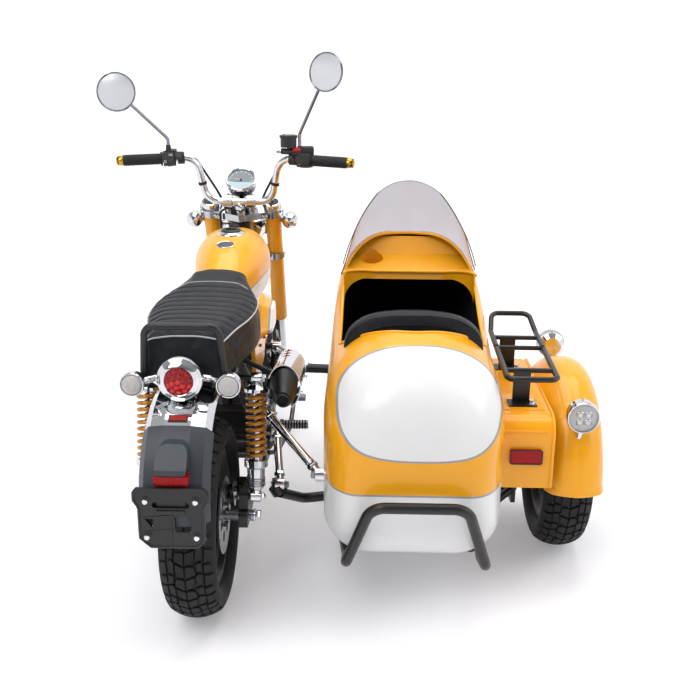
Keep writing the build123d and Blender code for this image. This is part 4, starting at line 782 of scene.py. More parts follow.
def rider_seat():
    """The rider's seat: a deep skirt, a crowned top sewn across in ribs, and pale piping round its edge."""
    rings = []
    for step in range(SEAT_RINGS + 1):
        y = SEAT_REAR + (SEAT_FRONT - SEAT_REAR) * step / SEAT_RINGS
        half, low, high = seat_size(y)
        edge = high - PIPING_DROP
        skirt = [(half - 9, low), (half - 2, low + 6), (half - 1, (low + edge) / 2), (half - 2, edge - 6)]
        crown = [(half - 5, edge + 3), (half * 0.84, high - 9), (half * 0.6, high - 3.5)]
        right = [(0, low), (half * 0.5, low)] + skirt + crown + [(half * 0.3, high - 1.2), (0, high - 0.5)]
        left = [(-x, z) for x, z in right[-2:0:-1]]
        outline = flow([Vector((x, 0, z)) for x, z in right + left], 3, True)
        rings.append([at(p.x, y, p.z) for p in outline])
    piece = stuffed("rider_seat", rings)
    swell(piece, 5, 3.5, 5, lambda p: drawn(p).z < 672)
    sew_ribs(piece)
    settle(piece, "seat")
    seat_piping(piece)


CAR_X = 515  # the sidecar's middle
BACK_FOOT = at(CAR_X, 172, 392)
BACK_RISE = Vector((0, -0.0995, 0.995))
BACK_OUT = Vector((0, 0.995, 0.0995))
BACK_MIDDLE = 170


def back_spot(x, up, depth):
    """A point of the back rest: x from its middle, up along it, and depth ahead of its rear."""
    return BACK_FOOT + (RIGHTWARD * x + BACK_RISE * up + BACK_OUT * depth) * MM


def passenger_back_rest():
    """The passenger's boxed back rest, seamed round its rear edge, its front edge and its rear panel."""
    right = [(168, 105), (176, 206), (175, 262), (158, 304), (114, 334), (56, 345)]
    corners = [(-156, 5), (0, 4), (156, 5)] + right + [(0, 347)] + [(-x, up) for x, up in right[::-1]]
    outline = [(p.x, p.z) for p in flow([Vector((x, 0, up)) for x, up in corners], 3, True)]
    rings = []
    for depth, inset in ((3, 10), (2, 3), (8, 0), (25, -1.5), (42, 0), (48, 3), (47, 10)):
        wide, tall = 1 - inset / 170, 1 - inset / 175
        drawn_in = [(x * wide, BACK_MIDDLE + (up - BACK_MIDDLE) * tall) for x, up in outline]
        rings.append([back_spot(x, up, depth) for x, up in drawn_in])
    piece = stuffed("passenger_back_rest", rings)
    swell(piece, 5, 4, 6, lambda p: (p - BACK_FOOT).dot(BACK_RISE) < 0.02)
    settle(piece, "seat_back")
    kit = Kit("back_rest_seams", "chassis")
    for depth, share in ((4, 0.985), (46, 0.985), (0, 0.84)):
        line = [back_spot(x * share, BACK_MIDDLE + (up - BACK_MIDDLE) * share, depth) for x, up in outline]
        kit.tube(on_skin(piece, line, 0.2), 1.6, "seat_leathercloth", 8, True)
    kit.make()


def cushion_ring(z, inset, count, first):
    """A rounded square round the cushion, drawn in by an inset, whose points start at a share of a step."""
    ring = []
    for k in range(count):
        a = math.tau * (k + first) / count
        c, s = math.cos(a), math.sin(a)
        x = math.copysign(abs(c) ** 0.42, c) * (163 - inset)
        y = math.copysign(abs(s) ** 0.42, s) * (148 - inset)
        ring.append(at(CAR_X + x, 330 + y, z))
    return ring


def passenger_cushion():
    """The passenger's boxed cushion, seamed round its upper edge."""
    levels = ((257, 12), (258, 4), (264, 0), (350, 0), (366, 3), (375, 9), (379, 26))
    piece = stuffed("passenger_cushion", [cushion_ring(z, inset, 64, 0.5) for z, inset in levels])
    swell(piece, 6, 4, 5, lambda p: drawn(p).z < 266)
    settle(piece, "seat_cushion")
    kit = Kit("cushion_seams", "chassis")
    kit.tube(on_skin(piece, cushion_ring(352, 0, 72, 0), 0.2), 1.7, "seat_leathercloth", 8, True)
    kit.make()


rider_seat()
passenger_back_rest()
passenger_cushion()


# Bars, clamps, mirrors and dial
LEAN = math.radians(25)
STEM = Vector((0, -math.sin(LEAN), math.cos(LEAN)))
AHEAD = Vector((0, math.cos(LEAN), math.sin(LEAN)))
BAR_END = Vector((341, 749.2, 1024.4))
BAR_RUN = (BAR_END - Vector((126, 805.2, 1030.4))).normalized()


def on_fork(x, forward, along):
    """A point measured from the steering axis: x sideways, forward of it and up along it."""
    return at(x, 1237, 10) + (AHEAD * forward + STEM * along) * MM


def on_bar(sign, distance, behind=0, above=0):
    """A point on a straight end of the handlebar, measured in from its tip."""
    point = BAR_END - BAR_RUN * distance
    return at(sign * point.x, point.y - behind, point.z + above)


def pad(kit, centre, lift, out, width, height, deep, finish):
    """A small bevelled block, its back out millimetres from a centre, facing lift degrees up at the rider."""
    facing = Vector((0, -math.cos(math.radians(lift)), math.sin(math.radians(lift))))
    rise = RIGHTWARD.cross(facing) * -1
    foot = centre + facing * out * MM
    corners = [foot + (RIGHTWARD * u * width + rise * v * height) * MM / 2 for u, v in SQUARE]
    kit.slab(corners, facing * deep * MM, finish, min(width, height, deep) * 0.25 * MM)


SWITCH_BLOCKS = [
    # side, place in from the tip, behind and above the bar; lift, out, width, height, depth, finish
    (-1, 144, 0, 0, 12, 17, 36, 30, 11, BLACK),
    (-1, 174, 0, 0, 30, 12, 24, 22, 14, BLACK),
    (-1, 137, 0, -6, 0, 26, 9, 8, 5, STEEL),
    (-1, 153, 0, 6, 14, 26, 12, 7, 4, "cast_alloy"),
    (-1, 150, 0, 0, 78, 18, 32, 20, 9, BLACK),
    (1, 144, 0, 0, 12, 17, 36, 30, 11, BLACK),
    (1, 164, 0, 0, 62, 13, 32, 26, 19, BLACK),
    (1, 166, 0, 0, 62, 31, 24, 17, 6, "red_switch"),
    (1, 158, 0, -8, 0, 22, 9, 8, 6, STEEL),
    (1, 134, -8, 0, 84, 18, 40, 26, 22, BLACK),
]


def bars():
    """Ribbed grips, gold bar weights, the switch blocks, brake cylinder, cable ties and clamp screws."""
    kit = Kit("bar_fittings", "steering")
    rib = [(15.8, -1.6), (16.9, -1.0), (16.9, 1.0), (15.8, 1.6)]
    weight = [(12.9, 0), (14.8, 2), (14.8, 9), (13, 15), (9, 20.5), (3, 22)]
    cap = [(20.2, 0), (20.2, 3), (17.6, 5), (12, 5), (11, 4), (4, 4)]
    collar = [(25.6, 0), (27.5, 1), (27.5, 15.4), (25.5, 18.8), (16, 19.2)]
    for sign in (-1, 1):
        way = Vector((sign * BAR_RUN.x, BAR_RUN.y, BAR_RUN.z))
        for step in range(18):
            kit.turn(on_bar(sign, 17 + 5.5 * step), way, rib, RUBBER, 28)
        kit.turn(on_bar(sign, 9), way, weight, "gold_anodised", 28)
        kit.turn(on_bar(sign, 144), way, [(23, -8), (24, -7), (24, 7), (23, 8)], BLACK, 36)
        tie = at(sign * 111, 820.2, 951.5)
        rise = Vector((sign * 26, -26, 136)).normalized()
        kit.turn(tie, rise, [(11.3, -5), (13, -4), (13, 4), (11.3, 5)], RUBBER, 24)
        kit.turn(on_fork(sign * 97, 30, 954.6), STEM, cap, BLACK, 32)
        kit.screw(on_fork(sign * 97, 30, 957), STEM, 9, BLACK)
        kit.turn(on_fork(sign * 97, 30, 938.6), STEM, collar, CHROME, 48, False)
        for forward in (-14, 14):
            kit.screw(on_fork(sign * 36, 6 + forward, 985), STEM, 9, CHROME)
        for along in (766, 927):
            kit.screw(on_fork(sign * 70, -7, along), -AHEAD, 10, CHROME)
            kit.screw(on_fork(sign * 80, -4, along), -AHEAD, 10, CHROME)
        kit.bolt(at(sign * 80, 976, 800), (sign, 0, 0), 13, CHROME)
        kit.bolt(on_bar(sign, 142 if sign < 0 else 157, 0, 31), UP, 14, BLACK, False)
        kit.bolt(on_bar(sign, 158, -46, 8), UP, 9)
    kit.bolt(on_fork(0, 0, 950.5), STEM, 30, CHROME, False)
    kit.turn(on_fork(0, 0, 960), STEM, [(9, 0), (9, 12), (7, 14), (3, 14.5)], CHROME, 24)
    for side, inward, behind, above, *form in SWITCH_BLOCKS:
        pad(kit, on_bar(side, inward, behind, above), *form)
    kit.tube([on_bar(1, 178, 6, 22), on_bar(1, 214, 6, 22)], 9, BLACK, 20)
    kit.tube([on_bar(1, 214, 6, 22), on_bar(1, 224, 6, 22)], 6, CHROME, 18)
    kit.bolt(on_bar(1, 221, 6, 22), -RIGHTWARD, 13, CHROME)
    for u in (-15, 15):
        kit.screw(on_bar(1, 192 + u, 4, 69.5), UP, 7)
    kit.make()


def mirrors():
    """The mirrors' round glasses in their rims, and the ball joints behind them."""
    kit = Kit("mirror_glasses", "steering")
    glass = [(50.9, 1.1), (50.9, 2.2), (49.5, 2.5), (2, 2.5)]
    rim = [(51, 1.2), (51, 3.1), (53, 4.3), (55.3, 3.1), (55.4, -0.6), (54.6, -1.4)]
    for x, z, aim in ((-328, 1224, 0.10), (272, 1284, -0.55)):
        way = Vector((aim, -1, 0.12)).normalized()
        centre = at(x, 700.2, z)
        # The glass's light grey is a painted reflection
        kit.turn(centre, way, glass, "mirror_glass", 64)
        kit.turn(centre, way, rim, "grey_chrome", 64, False)
        joint = centre - way * 10 * MM + move(0, 4, 0)
        kit.turn(joint, -way, [(10, -6), (10, 6), (7, 12), (5.4, 13)], CHROME, 24)
    kit.make()


DIAL = at(0, 872, 952)
DIAL_WAY = Vector((0, -0.62, 0.78)).normalized()
DIAL_RISE = RIGHTWARD.cross(DIAL_WAY) * -1
FACE_RADIUS = 41.8


def dial_spot(angle, radius, up):
    """A point of the dial at an angle in degrees from its right, a radius, and a height over its middle."""
    a = math.radians(angle)
    return DIAL + (RIGHTWARD * math.cos(a) * radius + DIAL_RISE * math.sin(a) * radius + DIAL_WAY * up) * MM


def stroke(kit, angle, near, far, up, wide, tip, thick):
    """A flat mark that runs outwards on the dial, with half its width at its foot and at its tip."""
    a = math.radians(angle)
    side = (DIAL_RISE * math.cos(a) - RIGHTWARD * math.sin(a)) * MM
    foot, end = dial_spot(angle, near, up), dial_spot(angle, far, up)
    corners = [foot - side * wide, end - side * tip, end + side * tip, foot + side * wide]
    kit.slab(corners, DIAL_WAY * thick * MM, "dial_marks")


def dial():
    """The instrument's face: a grey scale over a pale display, under its chrome ring."""
    second_finish(nodes["speedometer"], "black_gloss_paint",
                  lambda face: (face.center - DIAL).dot(DIAL_WAY) < -0.003)
    kit = Kit("dial_face", "steering")
    for angles, finish in ((range(-12, 193, 5), "dial_scale"), (range(192, 349, 6), "dial_display")):
        kit.slab([dial_spot(angle, FACE_RADIUS, 3.4) for angle in angles], DIAL_WAY * 0.6 * MM, finish)
    for step in range(17):
        near, wide = (31, 0.9) if step % 2 == 0 else (34, 0.5)
        stroke(kit, 196 - 12.75 * step, near, 38.5, 4, wide, wide, 0.4)
    stroke(kit, 168, -6, 30, 4.6, 1, 0.3, 0.6)
    kit.turn(DIAL, DIAL_WAY, [(4, 4), (4, 6), (3, 6.6)], BLACK, 20)
    ring = [(FACE_RADIUS, 5.5), (42.6, 8.2), (45, 9.3), (47.4, 8.2), (48.5, 5.5), (48.5, 1), (48.2, 0)]
    kit.turn(DIAL, DIAL_WAY, ring, CHROME, 64, False)
    kit.make()


bars()
mirrors()
dial()


# Tank, tail lamp and plate
def onto(node, point, way, lift=0.0):
    """The point where a line meets a node's surface, lifted back off it by millimetres."""
    way = Vector(way).normalized()
    found, place, _, _ = nodes[node].ray_cast(point, way)
    return place - way * lift * MM if found else point


def badge_ring(share, lift):
    """A ring on the tank's top round the badge's middle, at a share of its size."""
    ring = []
    for k in range(40):
        a = math.tau * k / 40
        over = at(-4 + 24 * share * math.cos(a), 535 + 19 * share * math.sin(a), 900)
        ring.append(onto("fuel_tank", over, -UP, lift))
    return ring


def tank_trims():
    """The black filler cap in its silver ring, and a bare oval badge plate."""
    kit = Kit("tank_trims", "chassis")
    cap = at(0, 627.9, 829)
    up = Vector((0, -0.04, 1)).normalized()
    kit.turn(cap, up, [(39.5, 1), (40.5, 5), (39, 8.5), (31, 12.5), (28.5, 13.2)], CHROME, 56, False)
    kit.turn(cap, up, [(28.6, 12.4), (28.2, 16), (25, 18.2), (20, 18.6), (19, 17.6), (2, 17.6)], BLACK, 56)
    kit.slab([cap + move(u * 14, v * 5, 0) + up * 17.5 * MM for u, v in SQUARE], up * 4 * MM, BLACK, 0.0012)
    kit.tube(badge_ring(1, 0.6), 1.8, CHROME, 8, True)
    levels = ((1, 0.2), (1, 1.0), (0.66, 1.3), (0.33, 1.4), (0.05, 1.4))
    kit.skin([badge_ring(share, lift) for share, lift in levels], "badge_grey")
    kit.make()


REARWARD = Vector((0, -1, 0))
TAIL_LAMP = at(0, -186, 678)
CELL_RINGS = [
    # ring radius, cells in it, how far back they stand
    (0, 1, 28.2), (12.5, 6, 27.4), (24, 11, 23.6),
]


def tail_lamp(kit):
    """The red lamp's chrome bezel and lens ring, and its cells: painted light on those below, painted shade
    on those above.
    """
    bezel = [(48.2, -10), (49.5, -6), (49.8, 6), (48.5, 11), (45, 14), (41.5, 12.6), (40, 9.6)]
    kit.turn(TAIL_LAMP, REARWARD, bezel, CHROME, 64, False)
    collar = [(44.5, 14), (41, 17.4), (36, 22), (32.6, 23.4), (31.2, 22.4), (31, 18)]
    kit.turn(TAIL_LAMP, REARWARD, collar, CHROME, 64, False)
    for radius, count, depth in CELL_RINGS:
        for k in range(count):
            a = math.tau * (k + 0.25) / count
            spot = TAIL_LAMP + move(math.cos(a), 0, math.sin(a)) * radius
            # Cells low in the lamp take the red with painted light, the others the red with painted shade
            glow = "red_cell_painted_light" if math.sin(a) < 0.1 or radius == 0 else "red_cell"
            cell = [(5.6, depth - 8), (5.6, depth - 0.6), (4.4, depth + 0.4), (2, depth + 0.9)]
            kit.turn(spot, REARWARD, cell, glow, 16)


def fender_reflector(kit):
    """The red reflector on the mudguard in its black frame."""
    a = math.radians(31.5)
    out = Vector((0, -math.sin(a), math.cos(a)))
    along = Vector((0, -math.cos(a), -math.sin(a)))
    spot = at(0, -110, 410) + out * 223 * MM
    for push, grow, finish in ((2.5, 3, BLACK), (4.5, 0, "red_reflector")):
        corners = [spot + (RIGHTWARD * u * (18 + grow) + along * v * (6.5 + grow)) * MM for u, v in SQUARE]
        kit.slab(corners, out * push * MM, finish, 0.001)


PLATE_Y = -344.5
PLATE_RIM = [
    (-70, 491), (70, 491), (77, 482), (77, 464), (67, 450), (67, 373), (52, 359), (-45, 359), (-67, 380),
    (-67, 450), (-77, 464), (-77, 482),
]


def plate_trims(kit):
    """The plate bracket's screws, its rolled rim with rounded corners, and its pressed ribs."""
    for x in (-52, 52):
        for z in (383, 465):
            kit.turn(at(x, -340, z), REARWARD, [(2.9, 0), (2.9, 5)], CHROME, 12)
            kit.bolt(at(x, -344, z), REARWARD, 11, CHROME)
            kit.turn(at(x, -344, z), REARWARD, [(10.5, -1), (10.5, 1.2), (8, 1.6)], BLACK, 24)
    rounded = []
    for k, (x, z) in enumerate(PLATE_RIM):
        for px, pz in (PLATE_RIM[k - 1], PLATE_RIM[(k + 1) % len(PLATE_RIM)]):
            reach = min(0.4, 5 / math.hypot(px - x, pz - z))
            rounded.append(at(x + (px - x) * reach, PLATE_Y, z + (pz - z) * reach))
    kit.tube(rounded, 2.2, BLACK, 8, True)
    for z in (400, 432):
        kit.tube([at(-60, -344.2, z - 6), at(-10, -344.2, z), at(4, -344.2, z)], 1.6, BLACK, 8)
    kit.tube([at(0, -344.2, 362), at(0, -344.2, 442)], 1.6, BLACK, 8)
    pad(kit, at(0, -344, 440), 0, 0, 60, 8, 3, BLACK)


def tail():
    """Lamp rings, the lamps' cells and bulbs, the small reflector, and the plate bracket's rim and screws."""
    kit = Kit("tail_fittings", "chassis")
    tail_lamp(kit)
    for sign in (-1, 1):
        spot = at(sign * 104, -178, 664)
        rim = [(26.2, 6), (27.4, 9), (27.6, 15), (26, 18), (23.9, 18.4)]
        kit.turn(spot, REARWARD, rim, CHROME, 40, False)
        kit.turn(spot, REARWARD, [(15, 14.5), (15, 23.5), (12, 26)], "amber_bulb", 24)
    kit.tube([at(30, -150, 670), at(-30, -150, 670)], 9, CHROME, 20)
    fender_reflector(kit)
    plate_trims(kit)
    kit.make()


tank_trims()
tail()


# Wheels, shocks, engine and driveline
def wheel_trims(name, body, x, y, z, disc, sprocket, outer):
    """Disc and sprocket bolts, the hub's rings, and a tyre valve."""
    kit = Kit(name, body)
    for k in range(5):
        a = math.tau * k / 5
        spot = Vector((0, math.cos(a), math.sin(a)))
        if disc:
            kit.screw(at(x + 56, y, z) + spot * 27 * MM, RIGHTWARD, 10, BLACK)
        if sprocket:
            kit.bolt(at(x - 81, y, z) + spot * 28 * MM, -RIGHTWARD, 11)
        if outer:
            kit.bolt(at(x + 52, y, z) + spot * 24 * MM, RIGHTWARD, 12, CHROME)
    a = math.radians(54)
    out = Vector((0, math.cos(a), math.sin(a)))
    valve = [(5, -2), (5, 6), (3.4, 7), (3.4, 26), (4.2, 27), (4.2, 34), (2, 36)]
    kit.turn(at(x + 12, y, z) + out * 128 * MM, RIGHTWARD * 0.5 - out, valve, RUBBER, 14)
    ring = [(36.5, 0), (36.5, 1.5), (34.6, 3)]
    for sign in (-1, 1):
        kit.turn(at(x + sign * 10.4, y, z), (sign, 0, 0), ring, STEEL, 40, False)
    kit.make()


wheel_trims("rear_wheel_bolts", "rear_wheel", 0, 0, 256, True, True, False)
wheel_trims("front_wheel_bolts", "front_wheel", 0, 1155, 250, True, False, False)
wheel_trims("car_wheel_bolts", "sidecar_wheel", 935, 385, 252, False, False, True)


CHAIN_X = -78
LINK = 12.7  # the chain's pitch


def chain_path():
    """The chain's centre line (y, z): round the rear sprocket, forwards, round the front one and back."""
    rear, front, big, small = (0, 256), (440, 300), 78.5, 36.0
    tilt = math.atan2(front[1] - rear[1], front[0])
    contact = math.acos((big - small) / math.hypot(front[0], front[1] - rear[1]))
    path = []
    for (y, z), radius, start, sweep, count in ((rear, big, tilt + contact, math.tau - 2 * contact, 60),
                                                (front, small, tilt - contact, 2 * contact, 40)):
        for k in range(count + 1):
            a = start + sweep * k / count
            path.append((y + radius * math.cos(a), z + radius * math.sin(a)))
    return path + path[:1]


def chain_links():
    """A roller chain round both sprockets: rollers between pairs of waisted plates."""
    path = chain_path()
    run = [0.0]
    for (y0, z0), (y1, z1) in zip(path, path[1:]):
        run.append(run[-1] + math.hypot(y1 - y0, z1 - z0))
    count = 2 * round(run[-1] / LINK / 2)
    pins = []
    for k in range(count):
        y, z = (np.interp(run[-1] * k / count, run, [p[i] for p in path]) for i in (0, 1))
        pins.append(Vector((0, y, z)))
    kit = Kit("chain_links", "chassis")
    for k, pin in enumerate(pins):
        after = pins[(k + 1) % count]
        kit.turn(at(CHAIN_X, pin.y, pin.z), RIGHTWARD, [(3.9, -4), (3.9, 4)], STEEL, 10)
        kit.turn(at(CHAIN_X, pin.y, pin.z), RIGHTWARD, [(1.9, -7), (1.9, 7)], STEEL, 8)
        way = (after - pin).normalized()
        side = Vector((0, -way.z, way.y))
        inner = 4.0 if k % 2 else 5.4
        for sign in (-1, 1):
            outline = []
            for middle, start in ((after, -60), (pin, 120)):
                for step in range(5):
                    a = math.radians(start + 30 * step)
                    spot = middle + (way * math.cos(a) + side * math.sin(a)) * 4.9
                    outline.append(at(CHAIN_X + sign * inner, spot.y, spot.z))
            kit.slab(outline, move(sign * 1.2, 0, 0), "chain_steel")
    kit.make(30, ("chain",))


def side_fittings(kit, sign):
    """One side's shock bolts and adjuster rings, axle nuts, footrest ribs and frame screws."""
    out = (sign, 0, 0)
    for y, z in ((66, 592), (6, 305)):
        kit.bolt(at(sign * 144.5, y, z), out, 17, CHROME)
        kit.turn(at(sign * 152, y, z), out, [(7, 0), (6.5, 3), (3, 5)], CHROME, 20)
    kit.bolt(at(sign * 129, 0, 256), out, 24, CHROME)
    kit.bolt(at(sign * 131, 385, 300), out, 19, CHROME)
    kit.bolt(at(sign * 117, 20, 292), out, 10)
    kit.turn(at(sign * 118, -14, 256), out, [(9, -4), (9, 2), (7, 3)], STEEL, 20)
    shock = Vector((0, 60, 287)).normalized()
    foot = at(sign * 133, 6, 305)
    adjuster = [(21.6, 0), (22.9, 1.2), (22.9, 2.6), (21.6, 3.8)]
    for height in (27, 33, 39, 45):
        kit.turn(foot + shock * height * MM, shock, adjuster, STEEL, 40, False)
    rib = [(12, -2.2), (13.6, -1.2), (13.6, 1.2), (12, 2.2)]
    for step in range(9):
        kit.turn(at(sign * (160 + 8 * step), 452 + 0.4 * step, 312), out, rib, RUBBER, 24)
    kit.bolt(at(sign * 158, 440, 326), UP, 10)
    for y, z in ((286, 604), (372, 600)):
        kit.screw(at(sign * 117, y, z), out, 8, BLACK)


def running_gear():
    """Both sides' bolts, the brake pedal's ribs, the engine covers' screws and the muffler's outlet."""
    kit = Kit("running_gear_bolts", "chassis")
    for sign in (-1, 1):
        side_fittings(kit, sign)
    for x in (168, 177, 186, 195, 204):
        tread = [at(x - 2, 637, 325), at(x + 2, 637, 325), at(x + 2, 667, 325), at(x - 2, 667, 325)]
        kit.slab(tread, move(0, 0, 2.5), STEEL)
    for k in range(6):
        a = math.tau * k / 6
        kit.screw(at(126, 514 + 53 * math.cos(a), 300 + 53 * math.sin(a)), RIGHTWARD, 9)
        kit.screw(at(-98, 484 + 55 * math.cos(a), 300 + 55 * math.sin(a)), -RIGHTWARD, 9)
    right_cover = [(40, -1), (40, 2.5), (37, 4), (12, 4), (11, 3)]
    left_cover = [(42, -1), (42, 2.5), (39, 4), (14, 4), (13, 3)]
    oil_cap = [(11, -12), (11, -2), (13, 0), (13, 5), (10, 7), (4, 7)]
    kit.turn(at(126, 514, 300), RIGHTWARD, right_cover, "cast_alloy", 48)
    kit.turn(at(-98, 484, 300), -RIGHTWARD, left_cover, "cast_alloy", 48)
    kit.turn(at(118, 560, 352), RIGHTWARD, oil_cap, BLACK, 28)
    kit.turn(at(46, 722, 352), (1, 0.2, 0), [(9, -6), (9, 12), (6, 14), (6, 34), (3, 36)], RUBBER, 20)
    for y, z in ((66, 309), (98, 254)):
        kit.bolt(at(70, y, z), RIGHTWARD, 10)
    outlet = at(203, -5.5, 563)
    way = Vector((0, -1, 0.12)).normalized()
    lip = [(15, -4), (15.5, 9), (14.5, 10.5), (12.8, 10), (12.4, 1)]
    kit.turn(outlet, way, lip, "muffler_black", 36)
    # A near-black disc just inside the outlet is painted shade
    kit.turn(outlet, way, [(12.4, 0.6), (12.4, 1.4)], "liner_and_painted_shade", 32)
    for share in (0.2, 0.75):
        point = Vector((202, 16, 575)).lerp(Vector((188, 300, 548)), share)
        beside = at(point.x + 90, point.y, point.z - 14)
        kit.screw(onto("heat_shield", beside, -RIGHTWARD), RIGHTWARD, 9, CHROME)
    kit.make()


TIE_RODS = [
    # where each starts on the motorcycle and ends on the sidecar's chassis
    ((132, 194, 463), (288, 60, 340)),
    ((120, 630.6, 470), (211, 602, 440)),
    ((150, 362, 336), (172, 216, 236)),
]


def tie_rod_ends():
    """Lock nuts, collars and eye bolts of the three chrome tie rods, and the frame's clamp bolts."""
    kit = Kit("tie_rod_ends", "chassis")
    nut = [(13.5, 0), (14.4, 1.5), (14.4, 9), (13.5, 10.5)]
    collar = [(11.4, 0), (12.6, 1), (12.6, 5), (11.4, 6)]
    for a, b in TIE_RODS:
        start, end = at(*a), at(*b)
        way = (end - start).normalized()
        for point, along in ((start, way), (end, -way)):
            kit.turn(point + along * 26 * MM, along, nut, CHROME, 6)
            kit.turn(point + along * 40 * MM, along, collar, CHROME, 24)
            for sign in (-1, 1):
                kit.bolt(point + move(sign * 12, 0, 0), (sign, 0, 0), 17)
    kit.bolt(at(160, 216, 240), UP, 19)
    kit.bolt(at(814, 385, 232), -RIGHTWARD, 19)
    for y in (370, 400):
        for z in (140, 178):
            kit.bolt(at(814, y, z), -RIGHTWARD, 12)
    kit.bolt(at(999, 385, 252), RIGHTWARD, 24, CHROME)
    kit.make()


chain_links()
running_gear()
tie_rod_ends()


# Sidecar fittings
SCREEN_FOOT_Z, SCREEN_TOP_Z = 752, 1000
SCREEN_FOOT = arc_through((-188, 548), (0, 752), (188, 548), 60)
SCREEN_TOP = arc_through((-112, 640), (0, 716), (112, 640), 60)


def screen_point(x, z):
    """A point on the windscreen's outer surface: x from its middle and a height in millimetres."""
    share = (z - SCREEN_FOOT_Z) / (SCREEN_TOP_Z - SCREEN_FOOT_Z)
    xs, ys = ([a[i] + (b[i] - a[i]) * share for a, b in zip(SCREEN_FOOT, SCREEN_TOP)] for i in (0, 1))
    return at(CAR_X + x, float(np.interp(x, xs, ys)), z)


def screen_trims():
    """The screen's side edges, darkened as painted shade, its upper edge, brightened as painted light, and
    the rubber seal along its foot.
    """
    kit = Kit("screen_trims", "chassis")
    left = arc_through((-188, 764), (-135, 890), (-91, 948), 16)
    top = arc_through((-91, 948), (0, 980), (91, 948), 20)
    right = arc_through((91, 948), (135, 890), (188, 764), 16)
    edges = ((left, 1.5, "screen_edge_painted_shade"), (top, 1.7, "screen_top_edge_painted_light"), (right, 1.5, "screen_edge_painted_shade"))
    for edge, radius, finish in edges:
        kit.tube([screen_point(x, z) for x, z in edge], radius, finish, 8)
    seal = []
    for (x0, y0), (x1, y1) in zip(SCREEN_FOOT, SCREEN_TOP):
        high, low = at(CAR_X + x1, y1, SCREEN_TOP_Z), at(CAR_X + x0, y0, SCREEN_FOOT_Z)
        found, place, _, _ = nodes["sidecar_body"].ray_cast(high.lerp(low, 0.4), low - high)
        if found and place.z > 0.68:
            seal.append(place)
    kit.tube(seal, 3.4, RUBBER, 10)
    kit.make()


OPENING_HALF = 185.5
DASH_HALF, DASH_ROUND = 183, 84


def dash_corner(kit, side):
    """One rounded corner of the dash with its fall to the opening; gives the line along its lip."""
    corner, lowered = [], []
    for step in range(9):
        a = math.radians(90 * step / 8)
        x = CAR_X + side * (DASH_HALF - DASH_ROUND + DASH_ROUND * math.cos(a))
        share = step / 8
        corner.append(at(x, 516 + DASH_ROUND * math.sin(a), 748 * (1 - share) + 735 * share))
        lowered.append(corner[-1] - move(0, 0, 21 + 62 * (1 - share) ** 2))
    tip = at(CAR_X + side * DASH_HALF, 600, 746)
    kit.skin([[tip] * 9, corner, lowered, [tip - move(0, 0, 30)] * 9], YELLOW, False, False)
    return corner


def cockpit_trims():
    """The rolled rim round the opening, the dash's lip with its rounded corners, and the cup's floor."""
    kit = Kit("cockpit_trims", "chassis")
    left, right = CAR_X - OPENING_HALF, CAR_X + OPENING_HALF
    outline = [(left, y) for y in range(585, 215, -20)]
    outline += arc_through((left, 220), (CAR_X, 98.5), (right, 220), 30)[1:-1]
    outline += [(right, y) for y in range(225, 590, 20)]
    outline += arc_through((right, 585), (CAR_X, 736.5), (left, 585), 30)[1:-1]
    rim = [onto("sidecar_body", at(x, y, 1000), -UP) for x, y in outline]
    kit.tube(flow(rim, 2, True), 4.2, YELLOW, 12, True)
    lip = dash_corner(kit, -1)
    lip = lip + dash_corner(kit, 1)[::-1]
    kit.tube([at(CAR_X - DASH_HALF, 500, 749)] + lip + [at(CAR_X + DASH_HALF, 500, 749)], 5, YELLOW, 12)
    kit.turn(at(408, 680, 716), UP, [(33.8, 0.2), (33.8, 0.8), (2, 0.8)], "cup_shade", 48)
    kit.make()


def deck_line(x):
    """The deck's profile at its outer end: up its rear wall, over, forward and down."""
    points = [at(x, 90, 302), at(x, 90, 400)]
    for k in range(7):
        a = math.radians(15 * k)
        points.append(at(x, 136 - 46 * math.cos(a), 439 + 46 * math.sin(a)))
    points += [at(x, y, 485) for y in range(180, 551, 37)]
    for k in range(1, 7):
        a = math.radians(15 * k)
        points.append(at(x, 550 + 60 * math.sin(a), 425 + 60 * math.cos(a)))
    return points + [at(x, 610, 302)]


LAMP_X = 942
FENDER_LAMPS = ((130, 480, -1), (610, 520, 1))  # y, z, and which way each faces


def fender_lips(kit):
    """The rolled lips at the fender's front and rear ends, thrown outwards over a few degrees."""
    drops = ((-75, 50), (-56, 18), (0, 0), (57, 19), (76, 58))
    crown = flow([Vector((x, 0, 288 - drop)) for x, drop in drops], 6)
    for angle, way in ((84, 1), (-80, -1)):
        rows = []
        for push, grow in ((-3.0, -1.0), (-1.0, 1.6), (0.6, 3.4), (1.9, 3.6), (2.3, 1.8), (1.2, -3)):
            a = math.radians(angle + way * push)
            row = []
            for point in crown:
                r = point.z + grow
                row.append(at(939 + point.x * (1 + grow / 110), 385 - r * math.sin(a), 252 + r * math.cos(a)))
            rows.append(row)
        kit.skin(rows, YELLOW, False, False)


def fender_lamp(kit, y, z, facing):
    """One round lamp on the fender: its chrome rim, four cells in chrome cups, and the screw above it."""
    spot, way = at(LAMP_X, y, z), Vector((0, facing, 0))
    rim = [(40.2, -4), (41.4, 0), (41.6, 12), (40, 15.5), (37.5, 15), (36, 11)]
    kit.turn(spot, way, rim, CHROME, 56, False)
    for k in range(4):
        a = math.tau * (k + 0.5) / 4
        cell = spot + move(math.cos(a), 0, math.sin(a)) * 14.5
        kit.turn(cell, way, [(9.6, 12), (9.6, 19.2), (8.6, 20.4), (7.4, 19), (6.4, 16.5)], CHROME, 24)
        kit.turn(cell, way, [(6.2, 16.4), (5, 19.4), (2, 20.6)], "white_led_cell", 20)
    kit.screw(spot + move(0, -facing * 14, 40), UP, 6, CHROME)


def lamp_face(face):
    """Whether a face of a fender lamp is its round front inside the rim."""
    for y, z, facing in FENDER_LAMPS:
        offset = face.center - at(LAMP_X, y, z)
        if abs(offset.y * facing - 0.006) < 0.0008 and math.hypot(offset.x, offset.z) < 0.036:
            return True
    return False


